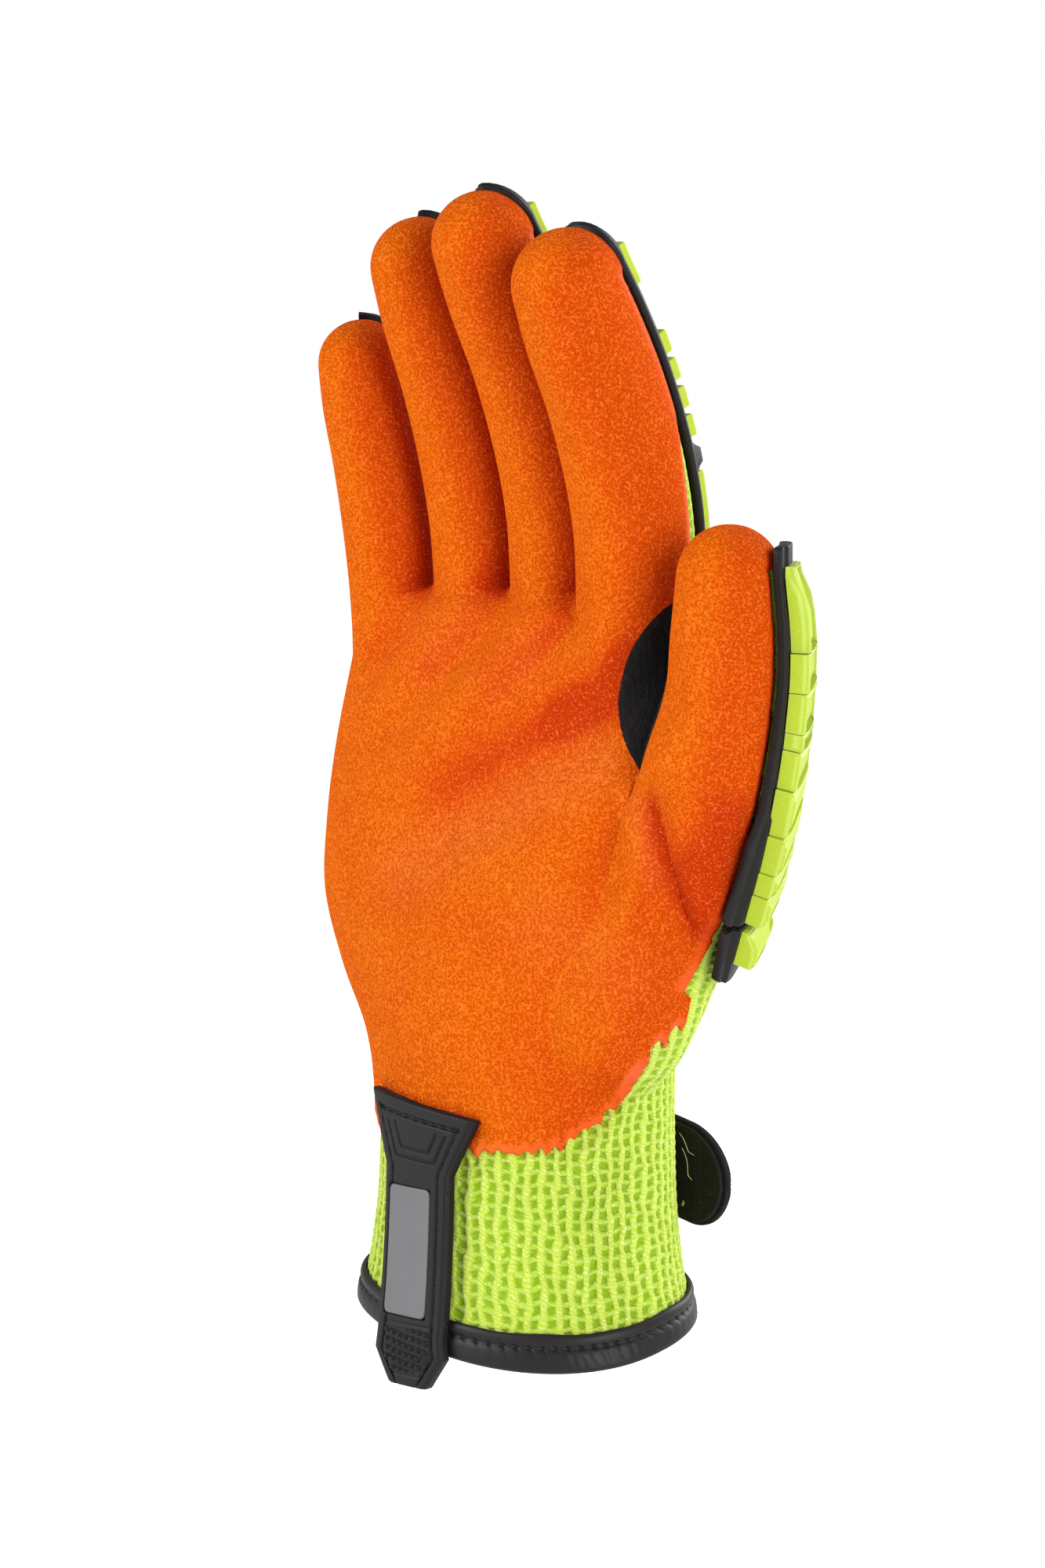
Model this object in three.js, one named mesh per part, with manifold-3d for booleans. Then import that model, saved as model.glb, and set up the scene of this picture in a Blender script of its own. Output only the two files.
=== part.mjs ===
// Impact glove for the right hand, standing as it is worn: a knitted liner with an open cuff, a sandy
// foam coating on the palm side, moulded rubber guards with raised blocks on the back, a wrist strap,
// a pull tab and a bound hem.
// Frame: millimetres, +Z towards the fingertips, palm facing -Y, thumb towards +X. The origin is the
// middle of the cuff opening.
import * as THREE from "three";
import { mergeVertices } from "three/addons/utils/BufferGeometryUtils.js";
import Module from "manifold-3d";

const wasm = await Module();
wasm.setup();

// Driving dimensions of the knitted hand, in millimetres, outside the knit
const PALM_WIDTH = 96;
const PALM_DEPTH = 34;
const PALM_HEIGHT = 143;
const HEEL_DEPTH = 50;
const WRIST_WIDTH = 70;
const WRIST_DEPTH = 52.5;
const HEM_WIDTH = 79;
const HEM_DEPTH = 57;
const HEM_DIP = 10;
const KNIT_WALL = 1.6;

// Layers on the knit
const LAYER_GAP = 0.3;
const COATING_THICKNESS = 0.9;
const PATCH_THICKNESS = 1.1;
const GUARD_THICKNESS = 2.3;
const BACK_GUARD_THICKNESS = 2.2;
const BLOCK_CHAMFER = 1.1;
const BINDING_THICKNESS = 1.1;
const BINDING_HEIGHT = 7.5;

// Coating edge on the cuff, height above the cuff opening
const COATING_EDGE_FRONT = 33;
const COATING_EDGE_THUMB = 62;
const COATING_EDGE_LITTLE = 44;

// Thumb crotch patch
const PATCH_HEIGHT = 42;
const PATCH_REACH = 13;

// Wrist strap and its hook tape
const STRAP_WIDTH = 22;
const STRAP_THICKNESS = 1.8;
const STRAP_HEIGHT = 28;
const STRAP_LEAVES_AT = 16;
const STRAP_REACH = 38;
const STRAP_START = -29;
const HOOK_THICKNESS = 1.0;
const HOOK_LENGTH = 14;
const HOOK_MARGIN = 0.8;

// Pull tab on the palm side of the cuff: heights are above the cuff opening
const TAB_TOP = 43.5;
const TAB_BOTTOM = -16.5;
const TAB_CENTRE = -2.8;
const TAB_WIDTH = 20.5;
const TAB_TOP_WIDTH = 34;
const TAB_FLARE_HEIGHT = 14;
const TAB_THICKNESS = 2.3;
const PLATE_WIDTH = 12.5;
const PLATE_LENGTH = 27.5;
const PLATE_TOP = 24.5;
const PLATE_SHIFT = -1.6;
const PLATE_THICKNESS = 0.8;
const PLATE_SEAT_DEPTH = 0.8;

// Facets round and along the lofts
const PALM_SIDES = 18;
const PALM_RINGS = 11;
const DIGIT_SIDES = 10;
const DIGIT_RINGS = 7;
const TIP_RINGS = [0.5, 0.87];
const ZONE_STEPS = 3;

// Rows of a table as objects with named columns
function table(columns, rows) {
  return rows.map((row) => Object.fromEntries(columns.map((column, i) => [column, row[i]])));
}

// Sections of the palm and cuff from the hem up. up is a share of the palm's height, side and fore are
// shares of its width and depth, dip is a share of the hem's dip, and power sets how square it is.
const PALM_SECTIONS = table(["up", "width", "depth", "side", "fore", "dip", "power"], [
  [0, HEM_WIDTH, HEM_DEPTH, 0.01, 0, 1, 2.2],
  [0.07, HEM_WIDTH * 0.945, HEM_DEPTH * 0.955, 0.01, 0, 0.75, 2.2],
  [0.16, WRIST_WIDTH * 1.01, WRIST_DEPTH, 0.012, 0, 0.3, 2.2],
  [0.29, WRIST_WIDTH, WRIST_DEPTH * 0.98, 0.012, 0, 0, 2.2],
  [0.39, PALM_WIDTH * 0.77, HEEL_DEPTH * 1.02, 0, 0, 0, 2.2],
  [0.49, PALM_WIDTH * 0.885, HEEL_DEPTH * 0.96, -0.026, 0.03, 0, 2.3],
  [0.595, PALM_WIDTH * 0.977, HEEL_DEPTH * 0.9, -0.042, 0.045, 0, 2.4],
  [0.7, PALM_WIDTH * 0.998, PALM_DEPTH * 1.17, -0.036, 0.045, 0, 2.5],
  [0.805, PALM_WIDTH * 1.008, PALM_DEPTH * 1.02, -0.02, 0.03, 0, 2.6],
  [0.91, PALM_WIDTH, PALM_DEPTH * 0.88, 0, 0.015, 0, 2.6],
  [1, PALM_WIDTH * 0.985, PALM_DEPTH * 0.73, 0.01, 0, 0, 2.4],
]);
const PALM_CROWN = 9;
const CROWN_RINGS = [0.6, 0.9];

// Path and section of a finger from its root to its tip. up, side and fore are shares of the digit's
// rise, lean and curl, wide and deep are shares of its width and depth, and back is how far behind the
// axis the coating reaches, as a share of half the depth.
const FINGER_PATH = table(["up", "side", "fore", "wide", "deep", "back"], [
  [-0.16, 0, 0, 0.7, 0.72, 0.2],
  [0, 0, 0, 0.94, 0.95, 0.3],
  [0.18, 0.1, 0, 0.985, 0.98, 0.42],
  [0.36, 0.3, 0.04, 1, 1, 0.5],
  [0.54, 0.5, 0.2, 1, 1, 0.62],
  [0.72, 0.7, 0.46, 0.98, 0.98, 0.9],
  [0.88, 0.88, 0.77, 0.95, 0.95, 1.2],
  [1, 1, 1, 0.87, 0.87, 1.2],
]);
const THUMB_PATH = table(["up", "side", "fore", "wide", "deep", "back"], [
  [-0.2, -0.25, 0.1, 0.68, 0.68, 0.4],
  [-0.09, -0.12, 0.05, 1.16, 1.15, 0.5],
  [0, 0, 0, 1.38, 1.28, 0.6],
  [0.18, 0.17, -1.5, 1.36, 1.27, 0.7],
  [0.395, 0.49, -1.3, 1.19, 1.12, 0.9],
  [0.585, 0.785, 0.1, 1.04, 1.04, 1.2],
  [0.735, 0.925, 0.4, 0.975, 0.93, 1.2],
  [0.865, 0.985, 0.8, 0.955, 0.9, 1.2],
  [1, 1, 1, 0.84, 0.8, 1.2],
]);

// Digits: root as shares of the palm's width, depth and height, then sizes in millimetres outside the
// knit, and the turn of the section about the digit's axis in degrees
const DIGITS = [
  { name: "index", root: [0.377, -0.07, 0.957], rise: 79, lean: 2, curl: 23, width: 23.4, depth: 24.6,
    roll: 0, path: FINGER_PATH },
  { name: "middle", root: [0.125, 0.04, 0.957], rise: 88, lean: 0, curl: 25, width: 21.6, depth: 22.8,
    roll: 0, path: FINGER_PATH },
  { name: "ring", root: [-0.124, 0.055, 0.944], rise: 85.5, lean: -2, curl: 18.8, width: 21, depth: 22.2,
    roll: 0, path: FINGER_PATH },
  { name: "little", root: [-0.362, -0.07, 0.923], rise: 68, lean: -3.9, curl: 8, width: 19.2, depth: 20.2,
    roll: 0, path: FINGER_PATH },
  { name: "thumb", root: [0.35, -0.113, 0.451], rise: 92, lean: 32.5, curl: 3, width: 23.2, depth: 24.4,
    roll: -53, path: THUMB_PATH },
];

// Guards on the digits: rows along the path as shares of the rise, and width as a share of the digit's
const FINGER_GUARD = table(["up", "wide"], [[0.1, 0.72], [1.1, 0.72]]);
const THUMB_GUARD = table(["up", "wide"], [[0.318, 0.96], [0.5, 0.94], [0.565, 0.78], [1.075, 0.72]]);
const THUMB_BASE_GUARD = table(["up", "wide"], [[0.168, 0.8], [0.306, 0.9]]);
// How flat the thumb's guard lies across the thumb, as a superellipse's power: 2 follows its round
const THUMB_GUARD_POWER = 4;
const GUARDED_FINGERS = ["index", "middle", "ring", "little"];

// Blocks on the guards: middle and length along the path as shares of the rise, width as a share of the
// digit's width, height in millimetres
const FINGER_BLOCKS = table(["at", "long", "wide", "high"], [
  [0.965, 0.12, 0.5, 2.4],
  [0.764, 0.048, 0.52, 1.9],
  [0.702, 0.048, 0.52, 1.9],
  [0.636, 0.048, 0.52, 1.9],
  [0.57, 0.048, 0.52, 1.9],
  [0.335, 0.26, 0.5, 1.9],
]);
const THUMB_BLOCKS = table(["at", "long", "wide", "high"], [
  [0.9425, 0.176, 0.62, 3],
  [0.8145, 0.067, 0.64, 3.2],
  [0.7396, 0.066, 0.64, 3.2],
  [0.6892, 0.023, 0.62, 2.4],
  [0.6372, 0.059, 0.64, 3.4],
  [0.5586, 0.076, 0.66, 3.7],
  [0.4715, 0.069, 0.66, 3.9],
  [0.407, 0.042, 0.66, 4],
  [0.3505, 0.058, 0.66, 4],
]);
const THUMB_BASE_BLOCKS = table(["at", "long", "wide", "high"], [
  [0.262, 0.076, 0.62, 4],
]);

// Outline of the back guard on the back of the hand, as shares of the palm's width and height
const BACK_GUARD_OUTLINE = [
  [-0.36, 0.48], [0.24, 0.48], [0.36, 0.62], [0.38, 0.93], [0.14, 0.96], [-0.14, 0.95], [-0.4, 0.9],
  [-0.42, 0.6],
];
const KNUCKLE_BLOCK_HEIGHT = 4.2;
const HAND_BLOCK_HEIGHT = 3;
const BACK_BLOCKS = [
  { name: "knuckle", from: 0.8, to: 0.915, wide: 0.14, high: KNUCKLE_BLOCK_HEIGHT, columns: [0.26, 0.085, -0.095, -0.28] },
  { name: "hand", from: 0.54, to: 0.77, wide: 0.2, high: HAND_BLOCK_HEIGHT, columns: [0.15, -0.2] },
];

// Finishes
const LIME_KNIT = new THREE.MeshStandardMaterial({ color: 0xc6ee2e, roughness: 0.9, metalness: 0 });
const ORANGE_FOAM = new THREE.MeshStandardMaterial({ color: 0xf2560a, roughness: 0.85, metalness: 0 });
const BLACK_RUBBER = new THREE.MeshStandardMaterial({ color: 0x1b191a, roughness: 0.55, metalness: 0 });
const LIME_RUBBER = new THREE.MeshStandardMaterial({ color: 0xc3ee3c, roughness: 0.5, metalness: 0 });
const BLACK_CLOTH = new THREE.MeshStandardMaterial({ color: 0x1a1718, roughness: 0.95, metalness: 0 });
const GREY_PLATE = new THREE.MeshStandardMaterial({ color: 0x77777a, roughness: 0.4, metalness: 0.1 });

const glove = new THREE.Group();
const vector = (x, y, z) => new THREE.Vector3(x, y, z);

// A solid from any closed geometry, its shared corners merged
function solidOf(geometry) {
  geometry.deleteAttribute("normal");
  geometry.deleteAttribute("uv");
  const merged = mergeVertices(geometry, 1e-4);
  return new wasm.Manifold(new wasm.Mesh({
    numProp: 3,
    vertProperties: Float32Array.from(merged.attributes.position.array),
    triVerts: Uint32Array.from(merged.index.array),
  }));
}

function addPiece(name, solid, material) {
  const result = solid.getMesh();
  const geometry = new THREE.BufferGeometry();
  geometry.setAttribute("position", new THREE.BufferAttribute(result.vertProperties, 3));
  geometry.setIndex(new THREE.BufferAttribute(result.triVerts, 1));
  geometry.computeVertexNormals();
  const mesh = new THREE.Mesh(geometry, material);
  mesh.name = name;
  glove.add(mesh);
}

// A closed solid through rings of equally many points, each ring running the same way round. Its ends
// are capped, the last one up to an apex if one is given, or the last ring joins the first where the
// rings are the corners of a band's section.
function loft(rings, { isBand = false, apex = null } = {}) {
  const sides = rings[0].length;
  const centre = (ring) => ring.reduce((sum, p) => sum.add(p), vector(0, 0, 0)).divideScalar(sides);
  const points = rings.flat();
  const first = points.length;
  if (!isBand) points.push(centre(rings[0]), apex ?? centre(rings.at(-1)));
  const faces = [];
  for (let j = 0; j < sides; j++) {
    const k = (j + 1) % sides;
    for (let i = 0; i + 1 < rings.length + (isBand ? 1 : 0); i++) {
      const low = i * sides;
      const high = ((i + 1) % rings.length) * sides;
      faces.push(low + j, low + k, high + k, low + j, high + k, high + j);
    }
    const top = (rings.length - 1) * sides;
    if (!isBand) faces.push(first, k, j, first + 1, top + j, top + k);
  }
  const geometry = new THREE.BufferGeometry();
  const positions = Float32Array.from(points.flatMap((p) => [p.x, p.y, p.z]));
  geometry.setAttribute("position", new THREE.BufferAttribute(positions, 3));
  geometry.setIndex(faces);
  return solidOf(geometry);
}

// Rows of a table taken at even steps on a smooth curve through them (Catmull-Rom, column by column)
function smoothRows(rows, count) {
  const keys = Object.keys(rows[0]);
  const row = (i) => rows[Math.min(Math.max(i, 0), rows.length - 1)];
  return Array.from({ length: count }, (_, step) => {
    const t = (step / (count - 1)) * (rows.length - 1);
    const i = Math.min(Math.floor(t), rows.length - 2);
    const u = t - i;
    const blend = (key) => {
      const [a, b, c, d] = [row(i - 1)[key], row(i)[key], row(i + 1)[key], row(i + 2)[key]];
      return 0.5 * (2 * b + (c - a) * u + (2 * a - 5 * b + 4 * c - d) * u * u
        + (3 * b - a - 3 * c + d) * u * u * u);
    };
    return Object.fromEntries(keys.map((key) => [key, blend(key)]));
  });
}

// Points round a superellipse in the plane of two axes
function superellipse(centre, across, deep, halfWidth, halfDepth, power, sides) {
  return Array.from({ length: sides }, (_, j) => {
    const angle = (2 * Math.PI * j) / sides;
    const round = (value) => Math.sign(value) * Math.abs(value) ** (2 / power);
    return centre.clone()
      .addScaledVector(across, round(Math.cos(angle)) * halfWidth)
      .addScaledVector(deep, round(Math.sin(angle)) * halfDepth);
  });
}

// The hem hangs lowest on the palm side below the thumb
const DIP_ANGLE = THREE.MathUtils.degToRad(-50);
function hemDrop(p) {
  const angle = Math.atan2(p.y / HEM_DEPTH, p.x / HEM_WIDTH) - DIP_ANGLE;
  return HEM_DIP * (0.5 + 0.5 * Math.cos(angle)) ** 2;
}

const ACROSS = vector(1, 0, 0);
const DEEP = vector(0, 1, 0);
const palmRows = smoothRows(PALM_SECTIONS, PALM_RINGS);

function palmRing(row, offset, drop = 0) {
  const centre = vector(row.side * PALM_WIDTH, -row.fore * PALM_DEPTH, row.up * PALM_HEIGHT - drop);
  const ring = superellipse(centre, ACROSS, DEEP, row.width / 2 + offset, row.depth / 2 + offset,
    row.power, PALM_SIDES);
  ring.forEach((p) => { p.z -= row.dip * hemDrop(p); });
  return ring;
}

// Palm and cuff, grown outwards by offset, and carried on below the hem by overhang
function palmBody(offset, overhang = 0) {
  const rings = palmRows.map((row) => palmRing(row, offset));
  if (overhang > 0) rings.unshift(palmRing(palmRows[0], offset, overhang));
  const top = palmRows.at(-1);
  for (const share of CROWN_RINGS) {
    const shrink = Math.sqrt(1 - share * share);
    const centre = vector(top.side * PALM_WIDTH, -top.fore * PALM_DEPTH,
      PALM_HEIGHT + share * (PALM_CROWN + offset));
    rings.push(superellipse(centre, ACROSS, DEEP, (top.width / 2 + offset) * (0.85 + 0.15 * shrink),
      (top.depth / 2 + offset) * shrink, top.power, PALM_SIDES));
  }
  return loft(rings);
}

// Sections of a digit: place, axes and half sizes
function digitSections(digit) {
  const root = vector(digit.root[0] * PALM_WIDTH, digit.root[1] * PALM_DEPTH, digit.root[2] * PALM_HEIGHT);
  const rows = smoothRows(digit.path, DIGIT_RINGS);
  const places = rows.map((row) => vector(row.side * digit.lean, -row.fore * digit.curl,
    row.up * digit.rise).add(root));
  const roll = THREE.MathUtils.degToRad(digit.roll);
  return rows.map((row, i) => {
    const before = places[Math.max(i - 1, 0)];
    const after = places[Math.min(i + 1, places.length - 1)];
    const along = after.clone().sub(before).normalize();
    const across = vector(Math.cos(roll), Math.sin(roll), 0);
    across.addScaledVector(along, -across.dot(along)).normalize();
    const deep = along.clone().cross(across);
    return { up: row.up, back: row.back, place: places[i], along, across, deep,
      halfWidth: (row.wide * digit.width) / 2, halfDepth: (row.deep * digit.depth) / 2 };
  });
}

for (const digit of DIGITS) digit.sections = digitSections(digit);

// A digit grown outwards by offset, with a round tip or carried straight on past it
function digitBody(digit, offset, straight = false) {
  const power = straight ? THUMB_GUARD_POWER : 2;
  const rings = digit.sections.map((s) => superellipse(s.place, s.across, s.deep,
    s.halfWidth + offset, s.halfDepth + offset, power, DIGIT_SIDES));
  const tip = digit.sections.at(-1);
  if (straight) {
    const end = tip.place.clone().addScaledVector(tip.along, digit.width);
    rings.push(superellipse(end, tip.across, tip.deep, tip.halfWidth + offset, tip.halfDepth + offset,
      power, DIGIT_SIDES));
    return loft(rings);
  }
  const pastTip = (share) => tip.place.clone().addScaledVector(tip.along, share * (tip.halfWidth + offset));
  for (const share of TIP_RINGS) {
    const shrink = Math.sqrt(1 - share * share);
    rings.push(superellipse(pastTip(share), tip.across, tip.deep, (tip.halfWidth + offset) * shrink,
      (tip.halfDepth + offset) * shrink, 2, DIGIT_SIDES));
  }
  return loft(rings, { apex: pastTip(1) });
}

// The whole hand grown outwards by offset
function handBody(offset, overhang = 0) {
  return DIGITS.reduce((body, digit) => body.add(digitBody(digit, offset)), palmBody(offset, overhang));
}

// Section of a digit at any share of its rise, worked out between its rings
function sectionAt(digit, up) {
  const { sections } = digit;
  const last = sections.length - 1;
  let i = sections.findIndex((s) => s.up > up) - 1;
  if (i < 0) i = up < sections[0].up ? 0 : last - 1;
  const [a, b] = [sections[i], sections[i + 1]];
  const t = (up - a.up) / (b.up - a.up);
  const mix = (key) => a[key].clone().lerp(b[key], t);
  const clamped = Math.min(Math.max(t, 0), 1);
  const mixNumber = (key) => a[key] + (b[key] - a[key]) * clamped;
  return { place: mix("place"), along: mix("along").normalize(), across: mix("across").normalize(),
    deep: mix("deep").normalize(), halfWidth: mixNumber("halfWidth"), halfDepth: mixNumber("halfDepth"),
    back: mixNumber("back") };
}

// A four-sided zone along a digit, with its corners from box(section): [left, right, front, back]
function digitZone(digit, ups, box, margin = 0) {
  return loft(ups.map((up, i) => {
    const s = sectionAt(digit, up);
    const spare = margin * (Number(i === ups.length - 1) - Number(i === 0));
    const [left, right, front, back] = box(s, up);
    return [[left, front], [right, front], [right, back], [left, back]].map(([x, y]) => s.place.clone()
      .addScaledVector(s.along, spare).addScaledVector(s.across, x).addScaledVector(s.deep, y));
  }));
}

// Even steps from one number to another
function steps(from, to, count) {
  return Array.from({ length: count + 1 }, (_, i) => from + ((to - from) * i) / count);
}

// Width share of a guard at a place along the digit, straight between its rows
function guardWidth(rows, up) {
  const i = Math.min(Math.max(rows.findIndex((row) => row.up > up) - 1, 0), rows.length - 2);
  const [a, b] = [rows[i], rows[i + 1]];
  const t = Math.min(Math.max((up - a.up) / (b.up - a.up), 0), 1);
  return a.wide + (b.wide - a.wide) * t;
}

// How far zones run past the digit's surface, as a share of half its depth
const ZONE_REACH = 2.6;

// Back strip of a digit, where its guard lies
function guardZone(digit, rows, margin) {
  return digitZone(digit, steps(rows[0].up, rows.at(-1).up, ZONE_STEPS), (s, up) => {
    const half = guardWidth(rows, up) * s.halfWidth + margin;
    return [-half, half, s.halfDepth * 0.3 - margin, s.halfDepth * ZONE_REACH];
  }, margin);
}

// Everything on a digit that the coating reaches
function coatingZone(digit) {
  const from = digit.name === "thumb" ? 0.1 : 0;
  return digitZone(digit, steps(from, 1.35, ZONE_STEPS), (s) => [-s.halfWidth * 1.5, s.halfWidth * 1.5,
    -s.halfDepth * ZONE_REACH, s.halfDepth * s.back]);
}

// Flat outline in x and z, extruded along y
function plateAlongY(shape, fromY, toY) {
  const geometry = new THREE.ExtrudeGeometry(shape, { depth: toY - fromY, bevelEnabled: false,
    curveSegments: 8 });
  geometry.rotateX(Math.PI / 2);
  geometry.translate(0, toY, 0);
  return solidOf(geometry);
}
const outlineShape = (points) => new THREE.Shape(points.map(([x, z]) => new THREE.Vector2(x, z)));

// Ellipsoid that bounds the crotch patch, grown by margin
function patchZone(margin) {
  const geometry = new THREE.SphereGeometry(1, 12, 6);
  geometry.scale(PATCH_REACH + margin, PATCH_REACH + margin, PATCH_HEIGHT / 2 + margin);
  const { place } = sectionAt(digitNamed("thumb"), 0.72);
  geometry.translate(PALM_WIDTH * 0.5, place.y + PALM_DEPTH * 0.12, place.z);
  return solidOf(geometry);
}

// Lower edge of the coating on the cuff, from the little-finger side over the front to the thumb side:
// x as a share of the palm's width, then shares of the rises on the two sides
const COATING_EDGE = table(["x", "little", "thumb"], [
  [-0.62, 1, 0],
  [-0.46, 0.75, 0],
  [-0.36, 0.3, 0],
  [-0.22, 0.08, 0],
  [-0.05, 0, 0],
  [0.08, 0, 0.03],
  [0.17, 0, 0.16],
  [0.25, 0, 0.38],
  [0.32, 0, 0.65],
  [0.38, 0, 0.88],
  [0.46, 0, 1],
  [1, 0, 1.1],
]);
function coatingShape() {
  const edge = COATING_EDGE.map((row) => [row.x * PALM_WIDTH, COATING_EDGE_FRONT
    + row.little * (COATING_EDGE_LITTLE - COATING_EDGE_FRONT)
    + row.thumb * (COATING_EDGE_THUMB - COATING_EDGE_FRONT)]);
  const top = PALM_HEIGHT * 1.2;
  return outlineShape([...edge, [PALM_WIDTH, top], [COATING_EDGE[0].x * PALM_WIDTH, top]]);
}

function backGuardZone(margin) {
  const shape = outlineShape(BACK_GUARD_OUTLINE.map(([x, z]) => [x * (PALM_WIDTH + 2 * margin),
    z * PALM_HEIGHT + (z > 0.75 ? margin : -margin)]));
  return plateAlongY(shape, PALM_DEPTH * 0.15, PALM_DEPTH * 2);
}

const digitNamed = (name) => DIGITS.find((digit) => digit.name === name);
const thumb = digitNamed("thumb");
const overKnit = handBody(LAYER_GAP);

// The liner is knitted in stages: each digit is a tube of its own that joins the palm at its root
const FINGERS_JOIN_AT = 0.94;
const THUMB_JOIN = [[0.54, 1.2], [0.54, 0.9], [0.505, 0.82], [0.4, 0.62], [0.4, 0.4]];

// Zone of the fingers' knit between two places across the palm
function fingerZone(from, to, margin) {
  const [low, high] = [FINGERS_JOIN_AT * PALM_HEIGHT - margin, PALM_HEIGHT * 2];
  const [left, right] = [from - margin, to + margin];
  return plateAlongY(outlineShape([[left, low], [right, low], [right, high], [left, high]]),
    -PALM_DEPTH * 3, PALM_DEPTH * 3);
}

function thumbZone(margin) {
  const edge = THUMB_JOIN.map(([x, z]) => [x * PALM_WIDTH - margin, z * PALM_HEIGHT]);
  const far = PALM_WIDTH;
  return plateAlongY(outlineShape([...edge, [far, edge.at(-1)[1]], [far, edge[0][1]]]),
    -PALM_DEPTH * 3, PALM_DEPTH * 3);
}

// Knit of each finger, of the thumb, and of the palm with the cuff
function linerSolids() {
  const knit = handBody(0).subtract(handBody(-KNIT_WALL, HEM_DEPTH));
  const overThumb = thumbZone(LAYER_GAP / 2);
  const places = GUARDED_FINGERS.map((name) => digitNamed(name).root[0] * PALM_WIDTH
    + digitNamed(name).lean / 2);
  const joins = [PALM_WIDTH, ...places.slice(1).map((x, i) => (x + places[i]) / 2), -PALM_WIDTH];
  const fingers = GUARDED_FINGERS.map((name, i) => [`knit_${name}`, knit
    .intersect(fingerZone(joins[i + 1], joins[i], -LAYER_GAP / 2)).subtract(overThumb)]);
  const palm = knit.subtract(fingerZone(-PALM_WIDTH, PALM_WIDTH, LAYER_GAP / 2)).subtract(overThumb);
  return [["knit_palm", palm], ...fingers, ["knit_thumb", knit.intersect(thumbZone(-LAYER_GAP / 2))]];
}

function coatingSolid() {
  const palmZone = plateAlongY(coatingShape(), -PALM_DEPTH * 3, PALM_DEPTH * 0.1);
  let zone = DIGITS.reduce((sum, digit) => sum.add(coatingZone(digit)), palmZone);
  for (const name of GUARDED_FINGERS) {
    zone = zone.subtract(guardZone(digitNamed(name), FINGER_GUARD, LAYER_GAP));
  }
  zone = zone.subtract(guardZone(thumb, THUMB_GUARD, LAYER_GAP))
    .subtract(guardZone(thumb, THUMB_BASE_GUARD, 2 * LAYER_GAP))
    .subtract(patchZone(LAYER_GAP))
    .subtract(backGuardZone(LAYER_GAP));
  return handBody(LAYER_GAP + COATING_THICKNESS).subtract(overKnit).intersect(zone);
}

function patchSolid() {
  return handBody(LAYER_GAP + PATCH_THICKNESS).subtract(overKnit)
    .intersect(patchZone(0))
    .subtract(guardZone(thumb, THUMB_GUARD, LAYER_GAP))
    .subtract(guardZone(digitNamed("index"), FINGER_GUARD, LAYER_GAP))
    .subtract(backGuardZone(LAYER_GAP));
}

// A guard sheet on the back of a digit, lying on the knit
function guardSolid(digit, rows) {
  const straight = digit.name === "thumb";
  return digitBody(digit, LAYER_GAP + GUARD_THICKNESS, straight)
    .subtract(digitBody(digit, LAYER_GAP, straight))
    .intersect(guardZone(digit, rows, 0))
    .subtract(overKnit);
}

// A block on a guard, with a chamfered top where it is tall, its foot cut to the guard's surface
function blockSolid(digit, row, guardTop) {
  const straight = digit.name === "thumb";
  const ends = [row.at - row.long / 2, row.at + row.long / 2];
  const inset = BLOCK_CHAMFER / digit.rise;
  const ring = (height, chamfer) => {
    const low = sectionAt(digit, ends[0] + chamfer * inset);
    const high = sectionAt(digit, ends[1] - chamfer * inset);
    const half = row.wide * sectionAt(digit, row.at).halfWidth - chamfer * BLOCK_CHAMFER;
    return [[low, -half], [high, -half], [high, half], [low, half]].map(([s, x]) => s.place.clone()
      .addScaledVector(s.across, x).addScaledVector(s.deep, s.halfDepth + height));
  };
  const top = guardTop + row.high;
  const rings = [ring(-digit.depth * 0.2, 0), ring(top, row.high > 2 * BLOCK_CHAMFER ? 1 : 0.6)];
  if (straight) rings.splice(1, 0, ring(top - BLOCK_CHAMFER, 0));
  return loft(rings).subtract(digitBody(digit, guardTop, straight)).subtract(overKnit);
}

// Height of the back of the hand over the middle plane, at a place on the palm
function palmBackY(x, z, offset) {
  const i = Math.min(palmRows.findIndex((row) => row.up * PALM_HEIGHT > z), palmRows.length - 1);
  const [a, b] = [palmRows[i - 1], palmRows[i]];
  const t = (z / PALM_HEIGHT - a.up) / (b.up - a.up);
  const mix = (key) => a[key] + (b[key] - a[key]) * t;
  const share = Math.abs(x - mix("side") * PALM_WIDTH) / (mix("width") / 2 + offset);
  return (mix("depth") / 2 + offset) * (1 - share ** mix("power")) ** (1 / mix("power"))
    - mix("fore") * PALM_DEPTH;
}

function backGuardSolid() {
  return handBody(LAYER_GAP + BACK_GUARD_THICKNESS).subtract(overKnit).intersect(backGuardZone(0));
}

function backBlockSolid(row, column) {
  const under = 2 * LAYER_GAP + BACK_GUARD_THICKNESS;
  const ring = (height, chamfer) => {
    const half = (row.wide * PALM_WIDTH) / 2 - chamfer;
    const x = column * PALM_WIDTH;
    const [low, high] = [row.from * PALM_HEIGHT + chamfer, row.to * PALM_HEIGHT - chamfer];
    return [[x - half, low], [x - half, high], [x + half, high], [x + half, low]].map(([px, pz]) =>
      vector(px, palmBackY(px, pz, under) + height, pz));
  };
  return loft([ring(-PALM_DEPTH * 0.2, 0), ring(row.high, BLOCK_CHAMFER)]).subtract(handBody(under));
}

// Ring of the cuff at any height, in line with the palm's rings above and below it
function cuffRing(z, offset) {
  const i = Math.max(palmRows.findIndex((row) => row.up * PALM_HEIGHT > z), 1);
  const [a, b] = [palmRows[i - 1], palmRows[i]];
  const t = (z / PALM_HEIGHT - a.up) / (b.up - a.up);
  const above = palmRing(b, offset);
  return palmRing(a, offset).map((p, j) => p.lerp(above[j], t));
}

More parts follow.
